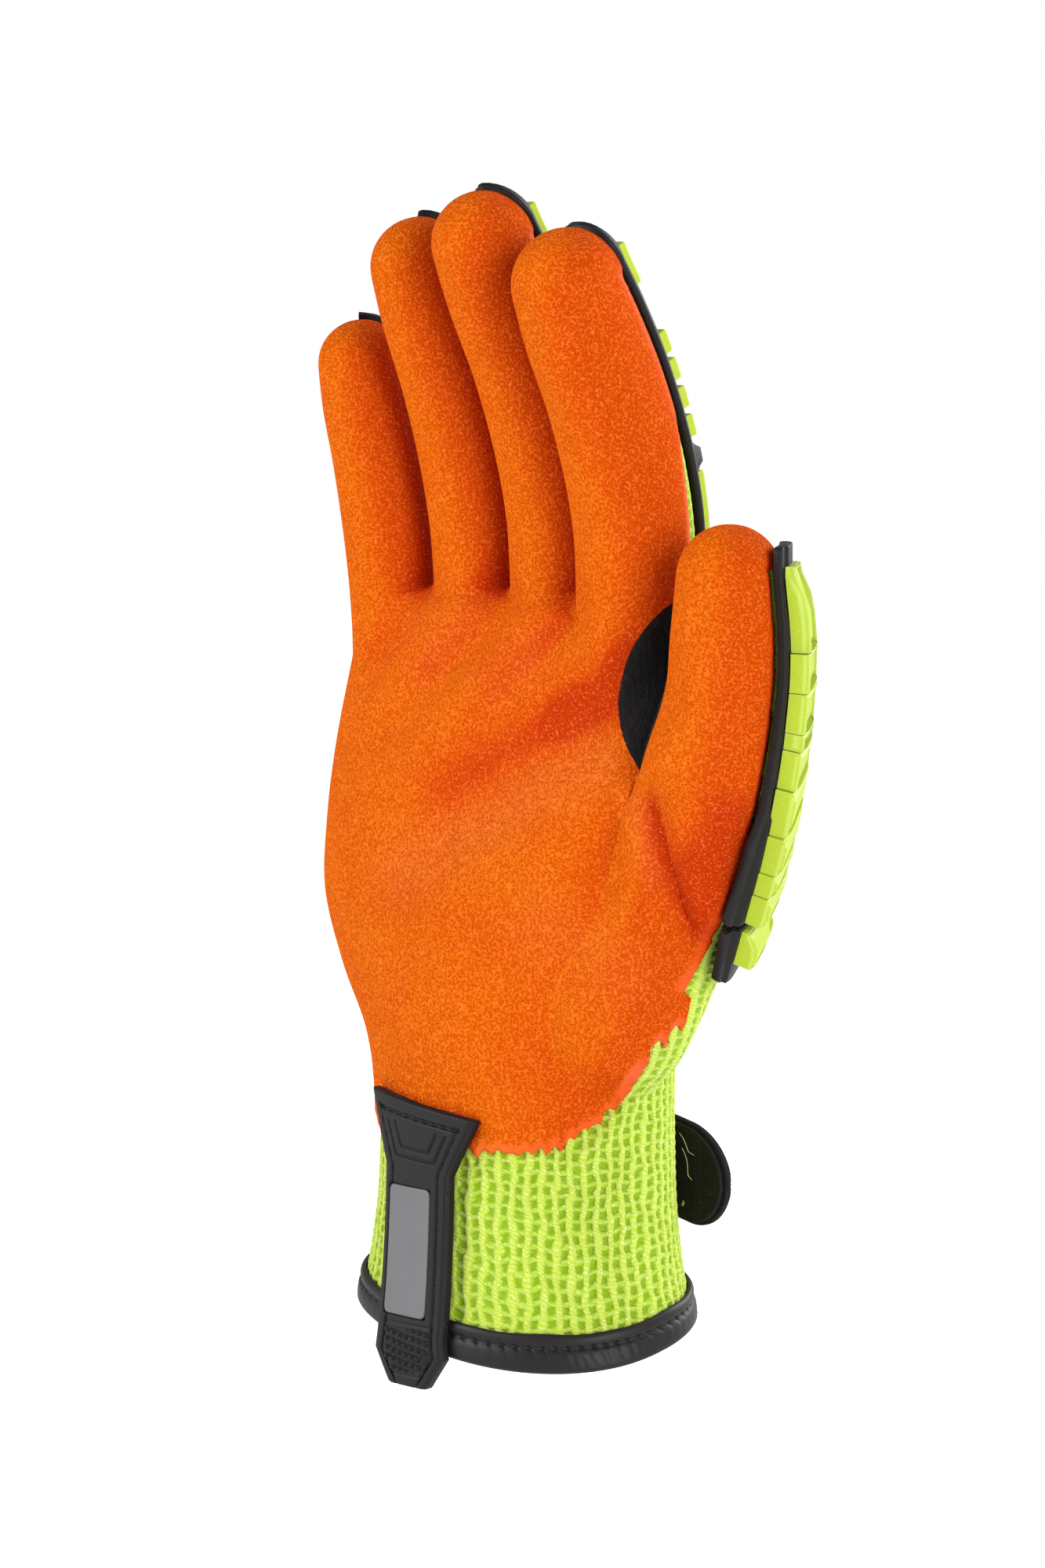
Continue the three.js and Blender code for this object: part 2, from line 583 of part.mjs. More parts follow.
// Binding folded over the knit's edge: an outer wall, a bottom and an inner wall
function bindingSolid() {
  const wall = LAYER_GAP + BINDING_THICKNESS;
  const corners = [
    { offset: wall, z: -wall }, { offset: wall, z: BINDING_HEIGHT },
    { offset: LAYER_GAP, z: BINDING_HEIGHT }, { offset: LAYER_GAP, z: -LAYER_GAP },
    { offset: -KNIT_WALL - LAYER_GAP, z: -LAYER_GAP }, { offset: -KNIT_WALL - LAYER_GAP, z: BINDING_HEIGHT },
    { offset: -KNIT_WALL - wall, z: BINDING_HEIGHT }, { offset: -KNIT_WALL - wall, z: -wall },
  ];
  return loft(corners.map((corner) => cuffRing(corner.z, corner.offset)), { isBand: true });
}

// Outline of the pull tab: flared top, straight shank and tapered lower end
function tabShape(margin) {
  const half = TAB_WIDTH / 2 + margin;
  const topHalf = TAB_TOP_WIDTH / 2 + margin;
  const rows = [
    { z: TAB_TOP + margin, half: topHalf },
    { z: TAB_TOP - TAB_FLARE_HEIGHT, half },
    { z: TAB_BOTTOM + TAB_WIDTH * 0.52, half },
    { z: TAB_BOTTOM + TAB_WIDTH * 0.34, half: half * 1.08 },
    { z: TAB_BOTTOM - margin, half: half * 0.58 },
  ];
  const left = rows.map((row) => [TAB_CENTRE - row.half, row.z]);
  const right = rows.map((row) => [TAB_CENTRE + row.half, row.z]).reverse();
  return outlineShape([...left, ...right]);
}

function plateShape(margin) {
  const half = PLATE_WIDTH / 2 + margin;
  const x = TAB_CENTRE + PLATE_SHIFT;
  const bottom = PLATE_TOP - PLATE_LENGTH - margin;
  return outlineShape([[x - half, bottom], [x + half, bottom], [x + half, PLATE_TOP + margin],
    [x - half, PLATE_TOP + margin]]);
}

const TAB_UNDER = 2 * LAYER_GAP + Math.max(BINDING_THICKNESS, COATING_THICKNESS);
const TAB_OVER = TAB_UNDER + TAB_THICKNESS;
const palmSide = (shape) => plateAlongY(shape, -HEM_DEPTH, 0);
const tabBody = (offset) => palmBody(offset, -TAB_BOTTOM);

function tabSolid() {
  const seat = tabBody(TAB_OVER + 1).subtract(tabBody(TAB_OVER - PLATE_SEAT_DEPTH))
    .intersect(palmSide(plateShape(LAYER_GAP)));
  return tabBody(TAB_OVER).subtract(tabBody(TAB_UNDER)).intersect(palmSide(tabShape(0))).subtract(seat);
}

function plateSolid() {
  const under = TAB_OVER - PLATE_SEAT_DEPTH + LAYER_GAP;
  return tabBody(under + PLATE_THICKNESS).subtract(tabBody(under)).intersect(palmSide(plateShape(0)));
}

// Strap across the back of the wrist. It leaves the cuff at STRAP_LEAVES_AT and ends in a round free end.
const STRAP_PLANE = palmBackY(STRAP_LEAVES_AT, STRAP_HEIGHT, LAYER_GAP) + LAYER_GAP;
function strapEnd(inset, from) {
  const radius = STRAP_WIDTH / 2 - inset;
  const centre = STRAP_REACH - STRAP_WIDTH / 2;
  const shape = new THREE.Shape();
  shape.moveTo(from, STRAP_HEIGHT - radius);
  shape.lineTo(centre, STRAP_HEIGHT - radius);
  shape.absarc(centre, STRAP_HEIGHT, radius, -Math.PI / 2, Math.PI / 2, false);
  shape.lineTo(from, STRAP_HEIGHT + radius);
  return shape;
}

function strapSolid() {
  const [low, high] = [STRAP_HEIGHT - STRAP_WIDTH / 2, STRAP_HEIGHT + STRAP_WIDTH / 2];
  const held = outlineShape([[STRAP_START, low], [STRAP_LEAVES_AT + 1, low], [STRAP_LEAVES_AT + 1, high],
    [STRAP_START, high]]);
  const wrapped = palmBody(LAYER_GAP + STRAP_THICKNESS).intersect(plateAlongY(held, 0, HEM_DEPTH));
  const free = plateAlongY(strapEnd(0, STRAP_LEAVES_AT - 3), STRAP_PLANE, STRAP_PLANE + STRAP_THICKNESS);
  return wrapped.add(free).subtract(palmBody(LAYER_GAP));
}

function hookSolid() {
  const from = STRAP_REACH - HOOK_MARGIN - HOOK_LENGTH;
  const top = STRAP_PLANE - LAYER_GAP;
  return plateAlongY(strapEnd(HOOK_MARGIN, from), top - HOOK_THICKNESS, top);
}

for (const [name, solid] of linerSolids()) addPiece(name, solid, LIME_KNIT);
addPiece("palm_coating", coatingSolid(), ORANGE_FOAM);
addPiece("thumb_crotch_patch", patchSolid(), BLACK_CLOTH);

const guardTop = LAYER_GAP + GUARD_THICKNESS + LAYER_GAP;
function addBlocks(digit, rows, label) {
  rows.forEach((row, i) => addPiece(`${label}_block_${i + 1}`, blockSolid(digit, row, guardTop),
    LIME_RUBBER));
}
for (const name of GUARDED_FINGERS) {
  const digit = digitNamed(name);
  addPiece(`${name}_guard`, guardSolid(digit, FINGER_GUARD), BLACK_RUBBER);
  addBlocks(digit, FINGER_BLOCKS, name);
}
addPiece("thumb_guard", guardSolid(thumb, THUMB_GUARD), BLACK_RUBBER);
addBlocks(thumb, THUMB_BLOCKS, "thumb");
addPiece("thumb_base_guard", guardSolid(thumb, THUMB_BASE_GUARD), BLACK_RUBBER);
addBlocks(thumb, THUMB_BASE_BLOCKS, "thumb_base");
addPiece("back_guard", backGuardSolid(), BLACK_RUBBER);
for (const row of BACK_BLOCKS) {
  row.columns.forEach((column, i) => addPiece(`${row.name}_block_${i + 1}`, backBlockSolid(row, column),
    LIME_RUBBER));
}
addPiece("wrist_strap", strapSolid(), BLACK_CLOTH);
addPiece("hook_patch", hookSolid(), BLACK_CLOTH);
addPiece("hem_binding", bindingSolid(), BLACK_RUBBER);
addPiece("pull_tab", tabSolid(), BLACK_RUBBER);
addPiece("reflective_plate", plateSolid(), GREY_PLATE);

export default glove;
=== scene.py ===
"""Impact glove for the right hand: a waffle-knitted liner, a sandy foam coating on the palm side, moulded
rubber guards with raised blocks on the back, a wrist strap, a pull tab and a bound hem.

All lengths are metres. +Z points to the fingertips, the palm faces -Y and the thumb +X, and the origin is
the middle of the cuff opening.
"""
import math

import bmesh
import bpy
import numpy as np
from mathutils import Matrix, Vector


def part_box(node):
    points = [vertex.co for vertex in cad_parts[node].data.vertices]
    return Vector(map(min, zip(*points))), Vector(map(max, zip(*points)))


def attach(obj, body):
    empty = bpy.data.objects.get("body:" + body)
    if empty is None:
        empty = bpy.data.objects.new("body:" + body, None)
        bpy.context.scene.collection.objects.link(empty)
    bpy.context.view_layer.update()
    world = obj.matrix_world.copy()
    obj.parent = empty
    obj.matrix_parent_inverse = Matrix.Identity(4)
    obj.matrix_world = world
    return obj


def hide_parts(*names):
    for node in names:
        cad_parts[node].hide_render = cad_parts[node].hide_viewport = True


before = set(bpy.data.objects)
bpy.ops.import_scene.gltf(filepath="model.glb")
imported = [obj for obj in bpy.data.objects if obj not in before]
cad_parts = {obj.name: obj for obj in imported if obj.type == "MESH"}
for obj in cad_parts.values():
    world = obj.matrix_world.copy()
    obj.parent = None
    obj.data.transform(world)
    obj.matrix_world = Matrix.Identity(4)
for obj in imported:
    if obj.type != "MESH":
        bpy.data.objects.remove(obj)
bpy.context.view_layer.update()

bl_info = {
    "name": "Impact glove",
    "version": (1, 0, 0),
    "blender": (4, 5, 0),
    "location": "View3D > Sidebar > Glove",
    "description": "Builds a coated, guarded work glove around its fixed solids",
    "category": "Object",
}

MM = 0.001
NODES = list(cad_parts)

# The hand inside the glove, in millimetres, outside the knit
PALM_WIDTH = 96.0
PALM_DEPTH = 34.0
PALM_HEIGHT = 143.0
HEEL_DEPTH = 50.0
WRIST_WIDTH = 70.0
WRIST_DEPTH = 52.5
HEM_WIDTH = 79.0
HEM_DEPTH = 57.0
HEM_DIP = 10.0
HEM_DIP_TURN = math.radians(-50)
PALM_CROWN = 9.0

# Sections of the palm and cuff from the hem up: up as a share of the palm's height, width and depth,
# side and fore as shares of its width and depth, share of the hem's dip, and how square it is
PALM_SECTIONS = [
    (0.00, HEM_WIDTH, HEM_DEPTH, 0.01, 0, 1, 2.2),
    (0.07, HEM_WIDTH * 0.945, HEM_DEPTH * 0.955, 0.01, 0, 0.75, 2.2),
    (0.16, WRIST_WIDTH * 1.01, WRIST_DEPTH, 0.012, 0, 0.3, 2.2),
    (0.29, WRIST_WIDTH, WRIST_DEPTH * 0.98, 0.012, 0, 0, 2.2),
    (0.39, PALM_WIDTH * 0.77, HEEL_DEPTH * 1.02, 0, 0, 0, 2.2),
    (0.49, PALM_WIDTH * 0.885, HEEL_DEPTH * 0.96, -0.026, 0.03, 0, 2.3),
    (0.595, PALM_WIDTH * 0.977, HEEL_DEPTH * 0.9, -0.042, 0.045, 0, 2.4),
    (0.7, PALM_WIDTH * 0.998, PALM_DEPTH * 1.17, -0.036, 0.045, 0, 2.5),
    (0.805, PALM_WIDTH * 1.008, PALM_DEPTH * 1.02, -0.02, 0.03, 0, 2.6),
    (0.91, PALM_WIDTH, PALM_DEPTH * 0.88, 0, 0.015, 0, 2.6),
    (1.00, PALM_WIDTH * 0.985, PALM_DEPTH * 0.73, 0.01, 0, 0, 2.4),
]

# Steps in which the smooth curves through the tables of the palm and of a digit are worked out
PALM_STEPS = 241
DIGIT_STEPS = 120

# Path and section of a finger and of the thumb, from the root to the tip: up, side and fore as shares of
# the rise, lean and curl, wide and deep as shares of the width and depth, and how far behind the axis the
# coating reaches, as a share of half the depth
FINGER_PATH = [
    (-0.16, 0, 0, 0.7, 0.72, 0.2),
    (0, 0, 0, 0.94, 0.95, 0.3),
    (0.18, 0.1, 0, 0.985, 0.98, 0.26),
    (0.36, 0.3, 0.04, 1, 1, 0.28),
    (0.54, 0.5, 0.2, 1, 1, 0.42),
    (0.72, 0.7, 0.46, 0.98, 0.98, 0.8),
    (0.88, 0.88, 0.77, 0.95, 0.95, 1.2),
    (1, 1, 1, 0.87, 0.87, 1.2),
]
THUMB_PATH = [
    (-0.2, -0.25, 0.1, 0.68, 0.68, 0.4),
    (-0.09, -0.12, 0.05, 1.16, 1.15, 0.5),
    (0, 0, 0, 1.38, 1.28, 0.6),
    (0.18, 0.17, -1.5, 1.36, 1.27, 0.7),
    (0.395, 0.49, -1.3, 1.19, 1.12, 0.9),
    (0.585, 0.785, 0.1, 1.04, 1.04, 1.2),
    (0.735, 0.925, 0.4, 0.975, 0.93, 1.2),
    (0.865, 0.985, 0.8, 0.955, 0.9, 1.2),
    (1, 1, 1, 0.84, 0.8, 1.2),
]

# Digits: root as shares of the palm's width, depth and height, then rise, lean, curl, width and depth,
# the turn of the section about the digit's axis, and the path
DIGITS = {
    "index": ((0.377, -0.07, 0.957), 79, 2, 23, 23.4, 24.6, 0, FINGER_PATH),
    "middle": ((0.125, 0.04, 0.957), 88, 0, 25, 21.6, 22.8, 0, FINGER_PATH),
    "ring": ((-0.124, 0.055, 0.944), 85.5, -2, 18.8, 21, 22.2, 0, FINGER_PATH),
    "little": ((-0.362, -0.07, 0.923), 68, -3.9, 8, 19.2, 20.2, 0, FINGER_PATH),
    "thumb": ((0.35, -0.113, 0.451), 92, 32.5, 3, 23.2, 24.4, -53, THUMB_PATH),
}
FINGERS = ("index", "middle", "ring", "little")

# Layers on the knit, in millimetres
LAYER_GAP = 0.3
GUARD_THICKNESS = 2.3
BACK_GUARD_THICKNESS = 2.2
GUARD_TOP = LAYER_GAP + GUARD_THICKNESS

# Guards: rows along the digit as shares of the rise, and width as a share of the digit's
FINGER_GUARD = [(0.1, 0.72), (1.1, 0.72)]
THUMB_GUARD = [(0.318, 0.87), (0.5, 0.85), (0.565, 0.75), (1.075, 0.7)]
THUMB_BASE_GUARD = [(0.168, 0.75), (0.306, 0.84)]

# Blocks on the guards: middle and length as shares of the rise, width as a share of the digit's width,
# and height in millimetres
FINGER_BLOCKS = [
    (0.972, 0.11, 0.5, 1.5),
    (0.764, 0.048, 0.52, 1.9),
    (0.702, 0.048, 0.52, 1.9),
    (0.636, 0.048, 0.52, 1.9),
    (0.57, 0.048, 0.52, 1.9),
    (0.335, 0.26, 0.5, 1.9),
]

# Blocks on the thumb's guards, from the tip down: the two rows of the reference picture between which a
# block's near side is seen, width as a share of the thumb's width, and height in millimetres
THUMB_BLOCKS_SEEN = [
    (723, 833, 0.62, 3.0),
    (837, 883, 0.64, 3.2),
    (889, 936, 0.64, 3.2),
    (940, 956, 0.62, 2.4),
    (964, 1006, 0.64, 3.4),
    (1014, 1065, 0.66, 3.7),
    (1074, 1115, 0.66, 3.9),
    (1120, 1144, 0.66, 4.0),
    (1148, 1183, 0.66, 4.0),
]
THUMB_BASE_BLOCKS_SEEN = [
    (1195, 1236, 0.62, 4.0),
]
# Where that near side stands: share of the thumb's half width, and height over the guard in millimetres
NEAR_SIDE_SHARE = 0.64
NEAR_SIDE_HEIGHT = 2.0

# How flat the thumb's guard lies across the thumb: 2 follows the thumb's round
THUMB_SQUARENESS = 4.0
# How far the top block of each thumb guard slopes down towards the tip, and the gap between two blocks' feet
THUMB_TOP_SLOPE = 2.2
FOOT_GAP = 0.12
# Where a low black block stands on a finger's guard, as a share of the rise
DARK_BLOCK_AT = 0.506
# The little finger's guard runs further over the tip and widens there
LITTLE_GUARD = [FINGER_GUARD[0], (1.13, 0.8)]

# Side lines of the guard on the back of the hand: height and sideways place as shares of the palm's
# height and width
BACK_GUARD_LEFT = [(0.48, -0.36), (0.6, -0.42), (0.9, -0.4), (0.95, -0.25)]
BACK_GUARD_RIGHT = [(0.48, 0.24), (0.62, 0.36), (0.93, 0.38), (0.95, 0.25)]

# Blocks on that guard: name, columns as shares of the palm's width, width, lower and upper end, height
BACK_BLOCKS = [
    ("knuckle", (0.26, 0.085, -0.095, -0.28), 0.14, 0.8, 0.915, 4.2),
    ("hand", (0.15, -0.2), 0.2, 0.54, 0.77, 3.0),
]
# Chamfers round the tops of the blocks on the back, the fingers and the thumb, in millimetres
BLOCK_CHAMFER = 1.1
FINGER_CHAMFER = 0.75
THUMB_CHAMFER = 1.2

# Hem, pull tab, plate and strap, in millimetres. The binding's profile gives how far out it lies from the
# knit's face and how high
BINDING_PROFILE = [
    (0.25, 5.5), (0.55, 6.0), (1.05, 6.05), (1.42, 5.6), (1.5, 4.9), (1.36, 4.3), (1.14, 3.9), (1.12, 3.6),
    (1.36, 3.2), (1.5, 2.4), (1.45, 1.2), (1.3, 0.1), (0.7, -0.6), (-0.4, -0.75), (-1.7, -0.7),
    (-2.7, -0.4), (-3.0, 0.4), (-3.0, 3.0), (-3.0, 5.2), (-2.75, 6.0), (-2.2, 6.0), (-1.95, 5.2),
    (-1.9, 3.0), (-1.75, 0.5), (-0.8, 0.1), (0.15, 0.4), (0.2, 2.5), (0.2, 4.5),
]
STITCH_PITCH = 2.9
TAB_TOP = 43.5
TAB_BOTTOM = -16.5
TAB_CENTRE = -2.8
TAB_WIDTH = 20.5
TAB_TOP_WIDTH = 34.0
TAB_FLARE_HEIGHT = 14.0
TAB_THICKNESS = 2.3
TAB_UNDER = 1.7
PLATE_WIDTH = 13.2
PLATE_LENGTH = 27.5
PLATE_TOP = 25.8
PLATE_SHIFT = -1.6
PLATE_THICKNESS = 0.8
STRAP_WIDTH = 22.0
STRAP_THICKNESS = 1.8
STRAP_HEIGHT = 28.0
STRAP_LEAVES_AT = 16.0
STRAP_REACH = 37.0
STRAP_DROOP = 3.6
STRAP_START = -29.0
HOOK_LENGTH = 14.0
HOOK_THICKNESS = 1.0
HOOK_MARGIN = 0.8

# Loose threads on the hook tape, in millimetres: where each starts (x, z), how far it runs and falls, and
# how much it curls
LOOSE_THREADS = [
    (24.6, 34.6, 4.6, -4.2, 0.45),
    (25.4, 31.4, 3.4, -6.4, 0.6),
    (25.6, 20.0, 0.5, -0.3, 0.45),
]

# Where the coating keeps clear of a guard: outside a share of the half width, between two shares of the rise
FINGER_GUARD_CLEAR = (0.74, 0.1, 0.97)
THUMB_GUARD_CLEAR = (0.5, 0.05, 1.02)

# Waffle knit: columns round the cuff and round a digit, and height of a row in millimetres
CUFF_COLUMNS = 60
DIGIT_COLUMNS = 20
ROW_PITCH = 2.15
# Height of the waffle, from 0 to 1, that lies on the knit's own surface
WAFFLE_MIDDLE = 0.75
# Where the cuff's grid ends, and where the joined hand takes over from it
CUFF_TOP = 74.0
HAND_FROM = 71.5

# Camera: where it looks, how far away it stands, its turn and rise, and its lens on a 36 mm high sensor
LOOK_AT = np.array([0.0, 0.0, 0.110])
CAMERA_DISTANCE = 1.0
CAMERA_TURN = math.radians(45)
CAMERA_RISE = math.radians(5)
CAMERA_LENS = 107.1
SENSOR_HEIGHT = 36.0
PHOTO_SIZE = (1333, 2000)
TOWARD_CAMERA = np.array([math.sin(CAMERA_TURN) * math.cos(CAMERA_RISE),
                          -math.cos(CAMERA_TURN) * math.cos(CAMERA_RISE), math.sin(CAMERA_RISE)])

# Where the lights stand and how wide they are, and the floor's level, in metres
KEY_LIGHT_PLACE = (-0.75, -1.05, 0.55)
FILL_LIGHT_PLACE = (1.25, -0.35, 0.35)
BACK_LIGHT_PLACE = (0.2, 1.1, 0.6)
FRONT_LIGHT_SIZE = 0.8
BACK_LIGHT_SIZE = 0.9
FLOOR_LEVEL = -0.075
FLOOR_REACH = 4

# Folds, hollows and pads of the palm side, drawn on the reference picture: depth in millimetres (less
# than 0 is a hollow), half width in pixels, and the path in the picture's pixels
FOLDS = [
    (-3.2, 52, [(806, 872), (730, 949), (645, 990), (560, 1060), (480, 1120)]),
    (-1.3, 17, [(552, 752), (520, 800), (480, 860)]),
    (-1.5, 19, [(651, 762), (605, 822), (545, 885), (480, 950)]),
    (-1.5, 19, [(737, 790), (690, 850), (615, 915)]),
    (1.3, 30, [(600, 745), (560, 800), (510, 860)]),
    (1.4, 30, [(700, 790), (650, 850), (590, 910)]),
    (1.0, 26, [(520, 770), (490, 830)]),
    (-2.6, 15, [(832, 1022), (850, 1090), (868, 1146), (884, 1190)]),
    (1.6, 15, [(808, 1012), (816, 1060), (818, 1112), (806, 1170)]),
    (1.3, 22, [(884, 1050), (900, 1112), (908, 1160)]),
    (1.5, 60, [(560, 1230), (600, 1330)]),
    (1.2, 55, [(720, 1120), (780, 1220)]),
    (-0.9, 28, [(800, 1240), (740, 1330)]),
]

# Bands of painted shade, where the coating is painted deep red, and bands of painted highlight, where it is
# painted pale:
# strength, then half width and path in the picture's pixels
PAINTED_SHADE_BANDS = [
    (0.75, 52, [(800, 872), (730, 912), (650, 956), (580, 1000)]),
    (0.4, 30, [(810, 862), (776, 892), (730, 912)]),
    (0.5, 26, [(547, 740), (520, 790), (490, 832)]),
    (0.5, 28, [(645, 738), (606, 795), (550, 850)]),
    (0.5, 28, [(738, 758), (690, 812), (630, 860)]),
    (0.85, 20, [(838, 1030), (858, 1080), (880, 1140), (900, 1180)]),
    (0.3, 40, [(520, 1150), (640, 1200)]),
    (0.35, 30, [(905, 1120), (930, 1040)]),
]
PAINTED_HIGHLIGHT_BANDS = [
    (0.42, 38, [(760, 975), (690, 1015), (600, 1066), (520, 1112)]),
    (0.2, 26, [(590, 790), (550, 850)]),
    (0.2, 28, [(690, 830), (640, 880)]),
    (0.4, 11, [(815, 1020), (824, 1070), (832, 1120)]),
    (0.2, 45, [(700, 1180), (800, 1250)]),
]

# Lower edge of the coating where the reference picture shows it, in the picture's pixels
COATING_EDGE_SEEN = [
    (400, 1440), (480, 1440), (560, 1455), (610, 1470), (700, 1470), (725, 1456), (765, 1430), (786, 1405),
    (801, 1380), (818, 1355), (842, 1330), (867, 1305), (881, 1280), (891, 1255), (916, 1235), (960, 1200),
]
# Width of a knit column in that picture, in pixels
CELL_PIXELS = 20.4

# And where it doesn't: angle round the cuff in degrees (0 is the thumb side, -90 the front, -180 the
# little-finger side) and height of the edge in millimetres
COATING_EDGE = [
    (-210, 78), (-190, 52), (-180, 46), (-165, 42), (-150, 38), (-135, 35.5), (-115, 33.5), (-90, 31.5),
    (-75, 31), (-66, 33), (-58, 38), (-50, 43.5), (-42, 49), (-34, 54), (-26, 59), (-14, 64), (0, 67),
    (12, 78),
]

# Soft fold of the knit below the coating on the thumb side: its path and half width in the picture's
# pixels, and its height in millimetres
CUFF_FOLD_SEEN = [(722, 1512), (760, 1464), (800, 1412), (838, 1352), (872, 1300), (908, 1240)]
CUFF_FOLD_WIDTH = 11
CUFF_FOLD_HEIGHT = 1.4


# Shapes worked out as arrays

def smooth_rows(rows, count):
    """Rows of a table at even steps on the Catmull-Rom curve through them, column by column:
    half of 2b + (c - a)u + (2a - 5b + 4c - d)u^2 + (3b - a - 3c + d)u^3."""
    rows = np.asarray(rows, float)
    t = np.linspace(0, len(rows) - 1, count)
    i = np.minimum(t.astype(int), len(rows) - 2)
    u = (t - i)[:, None]
    padded = np.vstack([rows[:1], rows, rows[-1:]])
    a, b, c, d = (padded[i + k] for k in range(4))
    return 0.5 * (2 * b + (c - a) * u + (2 * a - 5 * b + 4 * c - d) * u**2 + (3 * b - a - 3 * c + d) * u**3)


def smoothstep(low, high, value):
    """0 below low, 1 above high, and 3t^2 - 2t^3 between them."""
    t = np.clip((value - low) / (high - low), 0, 1)
    return t * t * (3 - 2 * t)


def signed_power(value, power):
    """The power of a value's size, with the value's own sign."""
    return np.sign(value) * np.abs(value) ** power


def unit(vectors):
    """Vectors divided by their lengths."""
    return vectors / np.maximum(np.linalg.norm(vectors, axis=-1, keepdims=True), 1e-12)


PALM_TABLE = smooth_rows(PALM_SECTIONS, PALM_STEPS)
PALM_UPS = PALM_TABLE[:, 0] * PALM_HEIGHT


def palm_values(z):
    """Centre, half sizes, dip and squareness of the palm's section at each height."""
    columns = [np.interp(z, PALM_UPS, PALM_TABLE[:, k]) for k in range(1, 7)]
    width, depth, side, fore, dip, power = columns
    return side * PALM_WIDTH, -fore * PALM_DEPTH, width / 2, depth / 2, dip, power


def hem_drop(x, y):
    """How far the hem hangs at a place round the cuff: the dip times (0.5 + 0.5 cos(angle))^2."""
    angle = np.arctan2(y / HEM_DEPTH, x / HEM_WIDTH) - HEM_DIP_TURN
    return HEM_DIP * (0.5 + 0.5 * np.cos(angle)) ** 2


def palm_points(angle, z, offset=0.0):
    """Superellipse rings: centre + half size times the signed power 2/n of cosine and sine, with the
    lower rings dropped towards the hem's dip. Millimetres."""
    angle, z = np.broadcast_arrays(angle, z)
    cx, cy, half_width, half_depth, dip, power = palm_values(z)
    x = cx + signed_power(np.cos(angle), 2 / power) * (half_width + offset)
    y = cy + signed_power(np.sin(angle), 2 / power) * (half_depth + offset)
    return np.stack([x, y, z - dip * hem_drop(x, y)], axis=-1)


def palm_side(x, z, offset, sign):
    """Place on the palm's back (sign 1) or front (sign -1) at any x and height:
    y = centre + sign * depth * (1 - |x share|^n)^(1/n). The section's own height is found by adding the
    hem's drop back on, four times over."""
    x, z, offset = np.broadcast_arrays(x, z, offset)
    section = np.asarray(z, float)
    for _ in range(4):
        cx, cy, half_width, half_depth, dip, power = palm_values(section)
        share = np.clip(np.abs(x - cx) / (half_width + offset), 0, 0.985)
        y = cy + sign * (half_depth + offset) * (1 - share**power) ** (1 / power)
        section = z + dip * hem_drop(x, y)
    return np.stack([x, y, z], axis=-1)


class Digit:
    """Frames along a finger or thumb, worked out once and then looked up by their share of the rise."""

    def __init__(self, name):
        root, rise, lean, curl, self.width, self.depth, roll, path = DIGITS[name]
        self.rise = rise
        rows = smooth_rows(path, DIGIT_STEPS)
        self.up = rows[:, 0]
        base = np.array([root[0] * PALM_WIDTH, root[1] * PALM_DEPTH, root[2] * PALM_HEIGHT])
        self.place = base + np.stack([rows[:, 1] * lean, -rows[:, 2] * curl, rows[:, 0] * rise], axis=1)
        self.half_width = rows[:, 3] * self.width / 2
        self.half_depth = rows[:, 4] * self.depth / 2
        self.back = rows[:, 5]
        self.along = unit(np.gradient(self.place, axis=0))
        turn = math.radians(roll)
        flat = np.array([math.cos(turn), math.sin(turn), 0.0])
        self.across = unit(flat - self.along * (self.along @ flat)[:, None])
        self.deep = np.cross(self.along, self.across)

    def at(self, up):
        """Place, axes and half sizes at shares of the rise, carried straight on past the tip."""
        up = np.asarray(up, float)

        def look(values):
            return np.interp(up, self.up, values)

        def look_vector(values):
            return np.stack([look(values[:, k]) for k in range(3)], axis=-1)

        place, along = look_vector(self.place), unit(look_vector(self.along))
        place = place + along * (np.maximum(up - 1, 0) * self.rise)[..., None]
        return (place, along, unit(look_vector(self.across)), unit(look_vector(self.deep)),
                look(self.half_width), look(self.half_depth))

    def rings(self, offset, sides, count=46, cap=9):
        """Elliptical rings from the root to the tip, then rings of a half ellipsoid as the tip's cap."""
        angle = np.arange(sides) * 2 * np.pi / sides
        up = np.linspace(self.up[0], 1, count)
        place, along, across, deep, wide, tall = self.at(up)
        body = self.ring(place, across, deep, wide + offset, tall + offset, angle)
        share = np.sin(np.linspace(0, np.pi / 2, cap + 1)[1:])
        share[-1] = 0.9995
        shrink = np.sqrt(1 - share**2)
        reach = wide[-1] + offset
        ends = place[-1] + along[-1] * (share * reach)[:, None]
        tip = self.ring(ends, across[-1], deep[-1], (wide[-1] + offset) * shrink,
                        (tall[-1] + offset) * shrink, angle)
        return np.concatenate([body, tip])

    @staticmethod
    def ring(place, across, deep, wide, tall, angle):
        """Ellipses: place + across * wide * cos(angle) + deep * tall * sin(angle)."""
        a = np.cos(angle)[None, :, None] * np.asarray(wide)[:, None, None]
        b = np.sin(angle)[None, :, None] * np.asarray(tall)[:, None, None]
        across = np.broadcast_to(across, place.shape)[:, None]
        deep = np.broadcast_to(deep, place.shape)[:, None]
        return place[:, None] + across * a + deep * b

    def shell(self, side, up, straight=False, power=2.0):
        """Back of the digit at a sideways place (a share of half its width): the superellipse's own
        height there, shrunk over the tip as a half ellipsoid unless it is carried straight on."""
        side, up = np.broadcast_arrays(side, up)
        place, _, across, deep, wide, tall = self.at(up)
        over = np.maximum(up - 1, 0) * self.rise / wide
        shrink = np.ones_like(over) if straight else np.sqrt(np.clip(1 - over**2, 0.02, 1))
        x = side * wide * shrink
        y = tall * shrink * np.clip(1 - np.abs(side) ** power, 0.02, 1) ** (1 / power)
        return place + across * x[..., None] + deep * y[..., None]


DIGIT = {name: Digit(name) for name in DIGITS}


def grid_normals(points):
    """Unit normals of a grid of points from the cross product of its two differences."""
    return unit(np.cross(np.gradient(points, axis=1), np.gradient(points, axis=0)))


